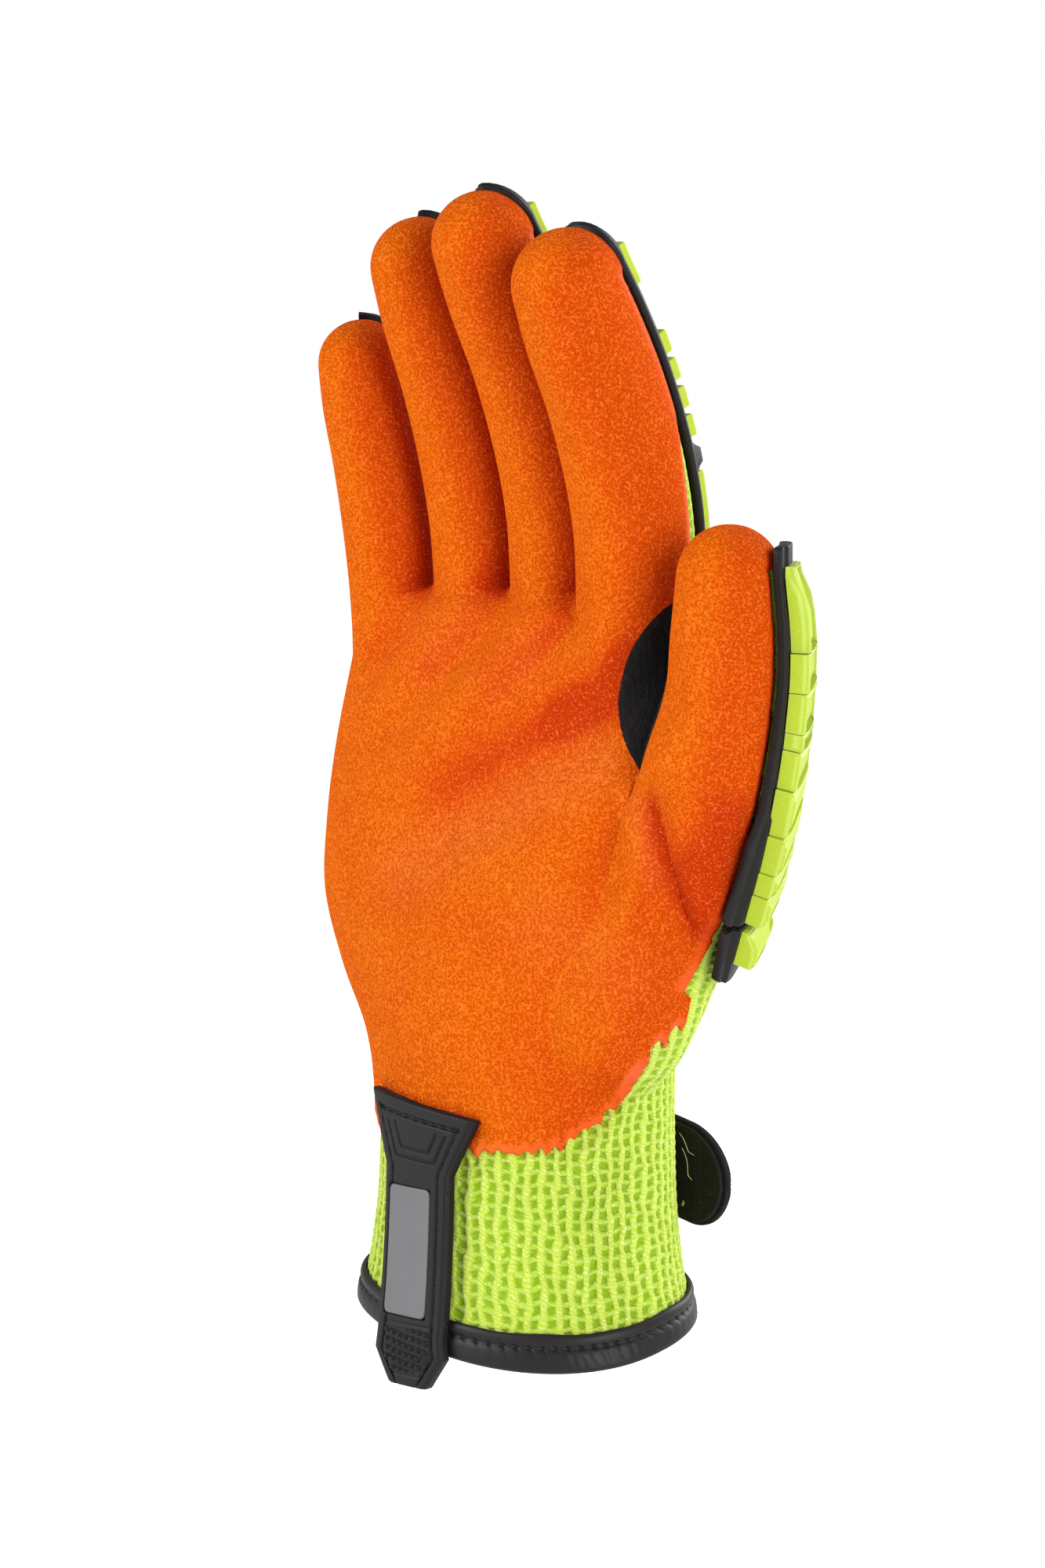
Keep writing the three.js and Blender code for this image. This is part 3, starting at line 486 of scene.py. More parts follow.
def photo_place(points):
    """Column and row of the reference picture under each point, seen from the camera's fixed place."""
    right = np.array([math.cos(CAMERA_TURN), math.sin(CAMERA_TURN), 0.0])
    up = np.cross(TOWARD_CAMERA, right)
    offset = points - (LOOK_AT + TOWARD_CAMERA * CAMERA_DISTANCE)
    depth = -(offset @ TOWARD_CAMERA)
    scale = CAMERA_LENS / SENSOR_HEIGHT * PHOTO_SIZE[1]
    return np.stack([PHOTO_SIZE[0] / 2 + scale * (offset @ right) / depth,
                     PHOTO_SIZE[1] / 2 - scale * (offset @ up) / depth], axis=-1)


def thumb_rows(blocks_seen):
    """Middle and length of the thumb's blocks as shares of its rise: the picture's rows are looked up along
    the line place + across * share * half width + deep * (half depth + height)."""
    up = np.linspace(-0.05, 1.25, 1301)
    place, _, across, deep, half_width, half_depth = DIGIT["thumb"].at(up)
    line = place + across * (NEAR_SIDE_SHARE * half_width)[:, None] \
        + deep * (half_depth + GUARD_TOP + NEAR_SIDE_HEIGHT)[:, None]
    rows_up = -photo_place(line * MM)[:, 1]
    rows = []
    for top, bottom, wide, tall in blocks_seen:
        high, low = np.interp([-top, -bottom], rows_up, up)
        rows.append((round((high + low) / 2, 4), round(high - low, 3), wide, tall))
    return rows


def line_distance(places, path):
    """Distance of each place to the nearest stretch of a path of straight pieces."""
    best = np.full(len(places), np.inf)
    for a, b in zip(np.asarray(path[:-1], float), np.asarray(path[1:], float)):
        along = b - a
        t = np.clip(((places - a) @ along) / (along @ along), 0, 1)
        best = np.minimum(best, np.linalg.norm(places - (a + t[:, None] * along), axis=1))
    return best


# Meshes

def quad_grid(rows, columns, wrap=False):
    """Faces of a grid of points, closed round if wrap is set."""
    last = columns if wrap else columns - 1
    i, j = np.meshgrid(np.arange(rows - 1), np.arange(last), indexing="ij")
    k = (j + 1) % columns
    return np.stack([i * columns + j, i * columns + k, (i + 1) * columns + k, (i + 1) * columns + j],
                    axis=-1).reshape(-1, 4)


def make_mesh(name, points, faces, loose=()):
    """A mesh from an array of points, an array of faces of one size, and a few faces of any size."""
    mesh = bpy.data.meshes.new(name)
    if len(loose):
        quads = [[int(corner) for corner in face] for face in faces]
        mesh.from_pydata(points.tolist(), [], quads + [[int(corner) for corner in face] for face in loose])
    else:
        faces = np.ascontiguousarray(faces, dtype=np.int32)
        mesh.vertices.add(len(points))
        mesh.vertices.foreach_set("co", np.ascontiguousarray(points, dtype=np.float32).ravel())
        mesh.loops.add(faces.size)
        mesh.loops.foreach_set("vertex_index", faces.ravel())
        mesh.polygons.add(len(faces))
        mesh.polygons.foreach_set("loop_start", np.arange(0, faces.size, faces.shape[1], dtype=np.int32))
    mesh.update(calc_edges=True)
    mesh.validate()
    return mesh


def face_outwards(mesh):
    """Turns the faces of a closed mesh outwards."""
    work = bmesh.new()
    work.from_mesh(mesh)
    bmesh.ops.recalc_face_normals(work, faces=work.faces)
    work.to_mesh(mesh)
    work.free()


def add_piece(name, mesh, material, stands_for=()):
    """Puts a finished mesh with a named material into the scene as one piece of the glove."""
    piece = bpy.data.objects.new(name, mesh)
    bpy.context.scene.collection.objects.link(piece)
    mesh.materials.clear()
    mesh.materials.append(bpy.data.materials[material])
    mesh.polygons.foreach_set("use_smooth", np.full(len(mesh.polygons), True))
    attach(piece, "root")
    if stands_for:
        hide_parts(*stands_for)
    return piece


def add_bevel(piece, width, segments=2, angle=35):
    """Rounds the edges of a piece that are sharper than an angle in degrees, and keeps its faces flat."""
    bevel = piece.modifiers.new("rounded edges", "BEVEL")
    bevel.width = width
    bevel.segments = segments
    bevel.limit_method = "ANGLE"
    bevel.angle_limit = math.radians(angle)
    bevel.harden_normals = True


def loft(rings):
    """Closed solid through rings of points: quads along, and a fan of quads folded on the end points."""
    count, sides = rings.shape[:2]
    points = np.concatenate([rings.reshape(-1, 3), rings[0].mean(0)[None], rings[-1].mean(0)[None]])
    faces = quad_grid(count, sides, wrap=True)
    j = np.arange(sides)
    k = (j + 1) % sides
    first, last = len(points) - 2, len(points) - 1
    top = (count - 1) * sides
    caps = [(first, int(b), int(a)) for a, b in zip(j, k)]
    caps += [(last, int(top + a), int(top + b)) for a, b in zip(j, k)]
    return points, faces, caps


def end_steps(start, end, radius, count, turns=7):
    """Places from start to end, closer together in the last radius at both ends."""
    near = min(radius, (end - start) * 0.45) * (1 - np.cos(np.linspace(0, np.pi / 2, turns)))
    middle = np.linspace(start + near[-1], end - near[-1], count)[1:-1]
    return np.concatenate([start + near, middle, end - near[::-1]])


def draw_in(distance, radius):
    """How far a quarter circle's edge has drawn in at a distance from the end: r - sqrt(r^2 - (r - d)^2)."""
    gap = np.clip(radius - distance, 0, radius)
    return radius - np.sqrt(np.maximum(radius**2 - gap**2, 0))


def strip_solid(point_at, length, half_width, low, high, radius, corners=None, flat=14, relief=None):
    """Rounded closed strip. point_at(x, row, height) gives points at sideways places x of each row and at
    heights over the surface. length holds the rows' places along the strip, and corners the radii that
    its two ends have in plan. The section is a rounded box from low to high, and relief(x, row) is added
    to its top."""
    first, last = corners or (radius, radius)
    half = half_width - draw_in(length - length[0], first) - draw_in(length[-1] - length, last)
    half = np.maximum(half, 0.05)
    drop = draw_in(np.minimum(length - length[0], length[-1] - length), radius)
    top, bottom = high - drop, low + drop
    r = np.minimum(np.minimum(radius, (top - bottom) * 0.49), half * 0.9)
    turn = np.linspace(0, np.pi / 2, 5)
    cos, sin = np.cos(turn)[None], np.sin(turn)[None]
    flat_share = np.linspace(1, -1, flat)[None, 1:-1]
    half, top, bottom, r = (value[:, None] for value in np.broadcast_arrays(half, top, bottom, r))
    straight = half - r
    rows = np.arange(len(length))[:, None]
    rise = relief(straight * flat_share, rows) if relief else np.zeros_like(straight * flat_share)
    x = np.concatenate([straight + r * cos, straight * flat_share, -straight - r * sin,
                        -straight - r * cos, straight * -flat_share, straight + r * sin], axis=1)
    level = np.ones_like(flat_share)
    h = np.concatenate([top - r + r * sin, top * level + rise, top - r + r * cos,
                        bottom + r - r * sin, bottom * level, bottom + r - r * cos], axis=1)
    return loft(point_at(x, np.broadcast_to(rows, x.shape), h) * MM)


def add_solid(node, solid, material):
    """Makes a closed solid, given as points, quads and end caps, into the piece that stands for a node."""
    mesh = make_mesh(node, *solid)
    face_outwards(mesh)
    return add_piece(node + "_finish", mesh, material, [node])


# Shader groups and materials

def new_group(name, inputs, outputs):
    """An empty shader group with named sockets. Inputs are (name, kind, default)."""
    group = bpy.data.node_groups.new(name, "ShaderNodeTree")
    for label, kind, default in inputs:
        socket = group.interface.new_socket(label, in_out="INPUT", socket_type="NodeSocket" + kind)
        if default is not None:
            socket.default_value = default
    for label, kind in outputs:
        group.interface.new_socket(label, in_out="OUTPUT", socket_type="NodeSocket" + kind)
    return group, Wires(group), group.nodes.new("NodeGroupInput"), group.nodes.new("NodeGroupOutput")


class Wires:
    """Short ways to add and join shader nodes."""

    def __init__(self, tree):
        self.tree = tree

    def node(self, kind, inputs=(), **settings):
        """Adds a node, sets its fields and sets or joins its inputs."""
        node = self.tree.nodes.new("ShaderNode" + kind)
        for key, value in settings.items():
            setattr(node, key, value)
        for key, value in dict(inputs).items():
            self.put(node.inputs[key], value)
        return node

    def put(self, socket, value):
        """Joins a socket to another one, or gives it a value."""
        if isinstance(value, bpy.types.NodeSocket):
            self.tree.links.new(value, socket)
        else:
            socket.default_value = value

    def math(self, operation, a, b=0.0, c=0.0):
        return self.node("Math", {0: a, 1: b, 2: c}, operation=operation).outputs[0]

    def ramp(self, value, low, high):
        """0 at low, 1 at high and smooth between them."""
        return self.node("MapRange", {0: value, 1: low, 2: high}, interpolation_type="SMOOTHSTEP").outputs[0]

    def mix(self, share, a, b, blend="MIX"):
        node = self.node("Mix", {}, data_type="RGBA", blend_type=blend)
        self.put(node.inputs[0], share)
        self.put(node.inputs[6], a)
        self.put(node.inputs[7], b)
        return node.outputs[2]

    def noise(self, vector, scale, detail=3.0, roughness=0.55):
        node = self.node("TexNoise", {"Vector": vector, "Scale": scale, "Detail": detail,
                                      "Roughness": roughness})
        return node.outputs[0]


def colour(red, green, blue):
    """A linear colour with full alpha from its three 8-bit screen values."""
    linear = [((c / 255 + 0.055) / 1.055) ** 2.4 if c > 10 else c / 255 / 12.92 for c in (red, green, blue)]
    return (*linear, 1.0)


def opaque(shade):
    """A colour of three values with full alpha."""
    return (*shade, 1)


def set_sockets(shader, values):
    """Sets sockets of the shader to values that are the same all over the surface."""
    for name, value in values.items():
        shader.inputs[name].default_value = value


def build_waffle_group():
    """Waffle cells from coordinates counted in columns and rows: raised upright ribs, thin cross bars
    and square pits, with fine threads over them."""
    group, w, source, sink = new_group(
        "waffle cells",
        [("Cells", "Vector", None), ("Threads", "Float", 9.0)],
        [("Rib", "Float"), ("Bar", "Float"), ("Thread", "Float"), ("Height", "Float")])
    parts = w.node("SeparateXYZ", {0: source.outputs["Cells"]})
    wobble = w.noise(source.outputs["Cells"], 1.3, 4.0, 0.65)
    column = w.math("ADD", parts.outputs[0], w.math("MULTIPLY", w.math("SUBTRACT", wobble, 0.5), 0.55))
    row = w.math("ADD", parts.outputs[1], w.math("MULTIPLY", w.math("SUBTRACT", wobble, 0.5), 0.7))
    wave = w.math("COSINE", w.math("MULTIPLY", column, 2 * math.pi))
    rib = w.ramp(wave, -0.9, 0.5)
    cross = w.math("COSINE", w.math("MULTIPLY", row, 2 * math.pi))
    bar = w.ramp(cross, -0.5, 0.9)
    strand = w.math("SINE", w.math("MULTIPLY_ADD", column, 9.0, w.math("MULTIPLY", row, 2 * math.pi * 3.0)))
    fuzz = w.noise(source.outputs["Cells"], source.outputs["Threads"], 3.0, 0.7)
    thread = w.math("MULTIPLY_ADD", strand, 0.18, fuzz)
    raised = w.math("MAXIMUM", rib, w.math("MULTIPLY", bar, 0.7))
    w.put(sink.inputs["Rib"], rib)
    w.put(sink.inputs["Bar"], bar)
    w.put(sink.inputs["Thread"], thread)
    w.put(sink.inputs["Height"], w.math("MULTIPLY_ADD", thread, 0.35, raised))
    return group


def build_pores_group():
    """Sandy foam: dark pores and pale crests of one fine noise, with broad cloudy changes of tone."""
    group, w, source, sink = new_group(
        "sandy pores",
        [("Place", "Vector", None), ("Scale", "Float", 1500.0), ("Amount", "Float", 1.0)],
        [("Pores", "Float"), ("Crests", "Float"), ("Cloud", "Float"), ("Height", "Float")])
    place = source.outputs["Place"]
    grain = w.noise(place, source.outputs["Scale"], 3.0, 0.6)
    pores = w.math("MULTIPLY", w.ramp(grain, 0.56, 0.36), source.outputs["Amount"])
    crests = w.math("MULTIPLY", w.ramp(grain, 0.52, 0.7), source.outputs["Amount"])
    cloud = w.noise(place, 70.0, 4.0, 0.65)
    w.put(sink.inputs["Pores"], pores)
    w.put(sink.inputs["Crests"], crests)
    w.put(sink.inputs["Cloud"], cloud)
    w.put(sink.inputs["Height"], w.math("SUBTRACT", w.math("MULTIPLY", crests, 0.5), pores))
    return group


def build_grain_group():
    """Moulded rubber or leather: fine grain, wide soft marks and a little dust."""
    group, w, source, sink = new_group(
        "moulded grain",
        [("Place", "Vector", None), ("Scale", "Float", 2200.0), ("Dust", "Float", 0.3)],
        [("Grain", "Float"), ("Dust", "Float"), ("Height", "Float")])
    place = source.outputs["Place"]
    fine = w.noise(place, source.outputs["Scale"], 3.0, 0.6)
    wide = w.noise(place, 120.0, 4.0, 0.6)
    specks = w.ramp(w.noise(place, 1700.0, 2.0, 0.5), 0.66, 0.78)
    w.put(sink.inputs["Grain"], fine)
    w.put(sink.inputs["Dust"], w.math("MULTIPLY", w.math("MULTIPLY", specks, w.ramp(wide, 0.4, 0.7)),
                                      source.outputs["Dust"]))
    w.put(sink.inputs["Height"], w.math("MULTIPLY_ADD", wide, 0.4, fine))
    return group


def build_edge_group():
    """Wear along edges: paler where the surface is convex, from the angle between the true normal and
    a rounded one."""
    group, w, source, sink = new_group(
        "edge wear", [("Radius", "Float", 0.0006), ("Strength", "Float", 1.0)], [("Edge", "Float")])
    rounded = w.node("Bevel", {"Radius": source.outputs["Radius"]}, samples=4)
    true = w.node("NewGeometry")
    dot = w.node("VectorMath", {0: rounded.outputs[0], 1: true.outputs["Normal"]}, operation="DOT_PRODUCT")
    bend = w.ramp(dot.outputs["Value"], 0.995, 0.8)
    w.put(sink.inputs["Edge"], w.math("MULTIPLY", bend, source.outputs["Strength"]))
    return group


def new_material(name):
    """A material with its output, its Principled shader and an Object coordinate."""
    material = bpy.data.materials.new(name)
    material.use_nodes = True
    tree = material.node_tree
    tree.nodes.clear()
    w = Wires(tree)
    shader = w.node("BsdfPrincipled")
    sink = w.node("OutputMaterial")
    tree.links.new(shader.outputs[0], sink.inputs[0])
    place = w.node("TexCoord").outputs["Object"]
    return material, w, shader, place


def use_group(w, name, inputs):
    """A shader group's node with its inputs set or joined."""
    node = w.node("Group", {}, node_tree=bpy.data.node_groups[name])
    for key, value in inputs.items():
        w.put(node.inputs[key], value)
    return node


def bump(w, height, strength, distance):
    """Normal of fine relief, whose greatest depth is given in metres."""
    return w.node("Bump", {"Height": height, "Strength": strength, "Distance": distance}).outputs[0]


def knit_material(colours):
    """Lime waffle knit: pale raised ribs and bars, a painted highlight and fuzz, over darker green pits, a
    painted shade.
    """
    material, w, shader, place = new_material("lime waffle knit")
    cells = w.node("UVMap", {}, uv_map="knit").outputs[0]
    waffle = use_group(w, "waffle cells", {"Cells": cells, "Threads": 9.0})
    raised = w.math("MAXIMUM", waffle.outputs["Rib"], w.math("MULTIPLY", waffle.outputs["Bar"], 0.72))
    tone = w.math("MULTIPLY", raised, w.ramp(waffle.outputs["Thread"], 0.2, 0.75))
    # Painted shade: the pits between raised ribs and bars are painted a darker green
    base = w.mix(w.math("MULTIPLY", raised, 0.75), opaque(colours.knit_pit_shade), opaque(colours.knit))
    tufts = w.ramp(w.noise(place, 1500.0, 3.0, 0.7), 0.5, 0.72)
    # Painted highlight: the raised threads are painted pale, partly their fuzz and partly a painted highlight
    # on the rib tops
    highlight_share = w.math("MULTIPLY", tone, w.math("MULTIPLY_ADD", tufts, 0.65, 0.2))
    w.put(shader.inputs["Base Color"], w.mix(highlight_share, base, opaque(colours.knit_highlight)))
    set_sockets(shader, {"Roughness": 0.85, "Specular IOR Level": 0.15, "Sheen Weight": 0.1,
                         "Sheen Roughness": 0.5})
    w.put(shader.inputs["Normal"], bump(w, waffle.outputs["Height"], 0.9, 0.0005))
    return material


def foam_material(colours):
    """Orange sandy foam with dark red pores and pale crests, painted deeper red in its hollows as painted
    shade. Three attributes
    from 0 to 1 change it: edge makes the rim smoother, redder and glossier; shade is painted shade, deeper
    red; the third is a painted highlight, paler."""
    material, w, shader, place = new_material("orange sandy foam")
    rim = w.node("Attribute", {}, attribute_name="edge").outputs["Fac"]
    pores = use_group(w, "sandy pores", {"Place": place, "Scale": 1850.0,
                                         "Amount": w.math("SUBTRACT", 1.0, w.math("MULTIPLY", rim, 0.85))})
    shade = w.node("Attribute", {}, attribute_name="shade").outputs["Fac"]
    # Painted shade: ambient occlusion and the shade attribute paint the foam deeper red in hollows, creases
    # and on the side away from the key light
    hollow = w.node("AmbientOcclusion", {"Distance": 0.018}, samples=6).outputs["AO"]
    deep = w.math("MAXIMUM", w.math("MULTIPLY", shade, 0.85), w.ramp(hollow, 0.85, 0.3))
    cloud = w.math("MULTIPLY", w.ramp(pores.outputs["Cloud"], 0.7, 0.3), 0.22)
    # Deeper red for random clouds of tone and for the painted shade
    base = w.mix(w.math("MAXIMUM", deep, cloud), opaque(colours.foam), opaque(colours.foam_cloud_and_shade))
    darkest_painted_shade = w.math("MULTIPLY", w.ramp(deep, 0.55, 1.0), 0.75)
    # Painted highlight: this attribute paints the coating paler along the ridges of the pale bands
    painted_highlight = w.node("Attribute", {}, attribute_name="painted_highlight").outputs["Fac"]
    layers = (
        (darkest_painted_shade, colours.foam_pore_and_shade),
        (w.math("MULTIPLY", painted_highlight, 0.5), colours.foam_crest_and_highlight),
        (w.math("MULTIPLY", pores.outputs["Crests"], 0.5), colours.foam_crest_and_highlight),
        (w.math("MULTIPLY", pores.outputs["Pores"], 0.66), colours.foam_pore_and_shade),
        (w.math("MULTIPLY", rim, 0.5), colours.foam_rim))
    for share, shade_of_layer in layers:
        base = w.mix(share, base, opaque(shade_of_layer))
    w.put(shader.inputs["Base Color"], base)
    w.put(shader.inputs["Roughness"], w.math("SUBTRACT", 0.9, w.math("MULTIPLY", rim, 0.6)))
    w.put(shader.inputs["Coat Weight"], w.math("MULTIPLY", rim, 0.35))
    set_sockets(shader, {"Specular IOR Level": 0.04, "Coat Roughness": 0.3})
    w.put(shader.inputs["Normal"], bump(w, pores.outputs["Height"],
                                        w.math("SUBTRACT", 0.8, w.math("MULTIPLY", rim, 0.7)), 0.00035))
    return material


def rubber_material(name, main, worn, roughness, wear=0.5, dust=0.3, specular=0.22):
    """Moulded rubber with fine grain, a few dust specks and paler edges."""
    material, w, shader, place = new_material(name)
    grain = use_group(w, "moulded grain", {"Place": place, "Scale": 2600.0, "Dust": dust})
    edge = use_group(w, "edge wear", {"Radius": 0.0005, "Strength": wear})
    lighter = [value * 1.15 for value in main]
    shaded = w.mix(w.ramp(grain.outputs["Grain"], 0.3, 0.7), opaque(main), opaque(lighter))
    edged = w.mix(edge.outputs["Edge"], shaded, opaque(worn))
    dusty = w.mix(grain.outputs["Dust"], edged, (0.5, 0.5, 0.48, 1))
    w.put(shader.inputs["Base Color"], dusty)
    w.put(shader.inputs["Roughness"], w.math("MULTIPLY_ADD", grain.outputs["Grain"], 0.25, roughness))
    set_sockets(shader, {"Specular IOR Level": specular})
    w.put(shader.inputs["Normal"], bump(w, grain.outputs["Height"], 0.25, 0.0001))
    return material


def ribbed_cloth_material(name, main, pale, scale):
    """Dark ribbed cloth: long soft loops between narrow grooves, from stretched noise."""
    material, w, shader, place = new_material(name)
    stretched = w.node("Mapping", {"Vector": place, "Scale": (1.0, 1.0, 0.45)}).outputs[0]
    loops = w.noise(stretched, scale, 4.0, 0.7)
    fuzz = w.noise(place, scale * 2.5, 2.0, 0.6)
    tone = w.math("MULTIPLY", w.ramp(loops, 0.45, 0.8), w.ramp(fuzz, 0.35, 0.7))
    w.put(shader.inputs["Base Color"], w.mix(tone, opaque(main), opaque(pale)))
    set_sockets(shader, {"Roughness": 0.8, "Specular IOR Level": 0.15})
    w.put(shader.inputs["Normal"], bump(w, loops, 1.0, 0.0008))
    return material


def plate_material(colours):
    """Grey reflective plate: fine beads under a satin film."""
    material, w, shader, place = new_material("grey reflective film")
    beads = w.node("TexVoronoi", {"Vector": place, "Scale": 4200.0})
    wide = w.noise(place, 90.0, 3.0, 0.5)
    darker = [value * 0.86 for value in colours.plate]
    tone = w.mix(w.ramp(beads.outputs["Distance"], 0.1, 0.6), opaque(colours.plate), opaque(darker))
    w.put(shader.inputs["Base Color"], w.mix(w.math("MULTIPLY", wide, 0.15), tone, (0.3, 0.3, 0.31, 1)))
    set_sockets(shader, {"Roughness": 0.5})
    w.put(shader.inputs["Normal"], bump(w, beads.outputs["Distance"], 0.06, 0.0001))
    return material


# Colours and sizes that a user would change

def colour_setting(name, description, red, green, blue):
    """A colour that a user can change, from its three 8-bit screen values."""
    return bpy.props.FloatVectorProperty(name=name, description=description, subtype="COLOR",
                                         default=colour(red, green, blue)[:3], min=0, max=1)


def length_setting(name, description, default, low, high):
    """A length that a user can change, from values in millimetres."""
    return bpy.props.FloatProperty(name=name, description=description, unit="LENGTH", precision=5,
                                   default=default * MM, min=low * MM, max=high * MM)


class GloveColours(bpy.types.PropertyGroup):
    """Colours of the glove's finishes."""
    knit: colour_setting("Knit", "Body colour of the waffle knit", 182, 204, 26)
    # Pale colour of the raised threads: partly fuzz, partly a painted highlight
    knit_highlight: colour_setting("Knit highlights", "Colour of the raised threads", 236, 243, 196)
    # Darker green painted into the pits as painted shade
    knit_pit_shade: colour_setting("Knit pits", "Colour at the bottom of the waffle cells", 132, 170, 0)
    foam: colour_setting("Foam", "Body colour of the palm coating", 233, 114, 3)
    # Deeper red used for random clouds and for painted shade in hollows and on the side away from the key
    # light
    foam_cloud_and_shade: colour_setting("Foam clouds", "Deeper tone that clouds the coating", 214, 62, 3)
    # Colour of the pores, and of the painted shade in the deepest hollows
    foam_pore_and_shade: colour_setting("Foam pores", "Colour inside the coating's pores", 186, 44, 2)
    # Pale colour of the sandy grain's crests, and of the painted highlight along the pale bands
    foam_crest_and_highlight: colour_setting("Foam rubbed", "Colour where the coating is rubbed pale", 242, 122, 66)
    foam_rim: colour_setting("Foam rim", "Colour of the coating's smooth rim", 204, 70, 30)
    rubber: colour_setting("Black rubber", "Guards, pull tab and hem binding", 19, 17, 17)
    lime: colour_setting("Lime rubber", "Raised blocks", 160, 178, 32)
    plate: colour_setting("Plate", "Reflective plate on the pull tab", 94, 93, 96)


class GloveSizes(bpy.types.PropertyGroup):
    """Sizes of the glove's layers and relief."""
    coating: length_setting("Coating", "Height of the foam's face over the knit", 1.2, 0.4, 2.5)
    waffle: length_setting("Waffle relief", "Depth of the waffle cells on the cuff", 0.7, 0, 1.5)
    voxel: length_setting("Hand detail", "Grid size that joins the palm and digits", 0.75, 0.5, 2)
    guard_round: length_setting("Guard edge", "Radius along the edges of the rubber guards", 0.7, 0.1, 1.1)


class GloveStage(bpy.types.PropertyGroup):
    """Camera and studio light."""
    key: bpy.props.FloatProperty(
        name="Key light", description="Power of the light left of the camera", unit="POWER",
        default=15.0, min=0, max=200)
    fill: bpy.props.FloatProperty(
        name="Fill light", description="Power of the light right of the camera", unit="POWER",
        default=13.0, min=0, max=200)
    surround: bpy.props.FloatProperty(
        name="Surround", description="Strength of the even white light from all round",
        default=0.5, min=0, max=4)


def strokes(places, facing, table):
    """Sum of soft strokes: depth times exp(-(distance / half width)^2), where the surface faces the
    picture."""
    total = np.zeros(len(places))
    for depth, half_width, path in table:
        total += depth * np.exp(-(line_distance(places, path) / half_width) ** 2)
    return total * smoothstep(-0.05, 0.35, facing)


def vertex_normals(points, faces):
    """Area-weighted unit normals of a mesh of quads."""
    diagonals = [points[faces[:, far]] - points[faces[:, near]] for near, far in ((0, 2), (1, 3))]
    face_normals = np.cross(*diagonals)
    total = np.zeros_like(points)
    for corner in range(faces.shape[1]):
        for axis in range(3):
            total[:, axis] += np.bincount(faces[:, corner], face_normals[:, axis], minlength=len(points))
    return unit(total)


def smooth_points(points, edges, rounds, share):
    """Moves each point towards the mean of its neighbours by share, which may differ point by point."""
    degree = np.bincount(edges.ravel(), minlength=len(points)).astype(float)
    share = np.broadcast_to(np.asarray(share, float), (len(points),))[:, None]
    for _ in range(rounds):
        mean = np.stack([np.bincount(edges[:, 0], points[edges[:, 1], k], minlength=len(points))
                         + np.bincount(edges[:, 1], points[edges[:, 0], k], minlength=len(points))
                         for k in range(3)], axis=1) / degree[:, None]
        points = points + share * (mean - points)
    return points


def mesh_arrays(mesh):
    """Points, quads and edges of a mesh of quads as arrays."""
    points = np.empty(len(mesh.vertices) * 3, np.float32)
    mesh.vertices.foreach_get("co", points)
    loops = np.empty(len(mesh.loops), np.int32)
    mesh.loops.foreach_get("vertex_index", loops)
    edges = np.empty(len(mesh.edges) * 2, np.int32)
    mesh.edges.foreach_get("vertices", edges)
    return points.reshape(-1, 3).astype(float), loops.reshape(-1, 4), edges.reshape(-1, 2)


def digit_share(name, points):
    """Share of the rise and share of the half sizes at which each point lies in a digit's frame."""
    digit = DIGIT[name]
    place = points / MM
    flat = np.argmin(((place[:, None] - digit.place[None, ::4]) ** 2).sum(-1), axis=1) * 4
    rel = place - digit.place[flat]
    step = np.einsum("ij,ij->i", rel, digit.along[flat])
    up = digit.up[flat] + step / digit.rise
    x = np.einsum("ij,ij->i", rel, digit.across[flat]) / digit.half_width[flat]
    y = np.einsum("ij,ij->i", rel, digit.deep[flat]) / digit.half_depth[flat]
    return up, x, y


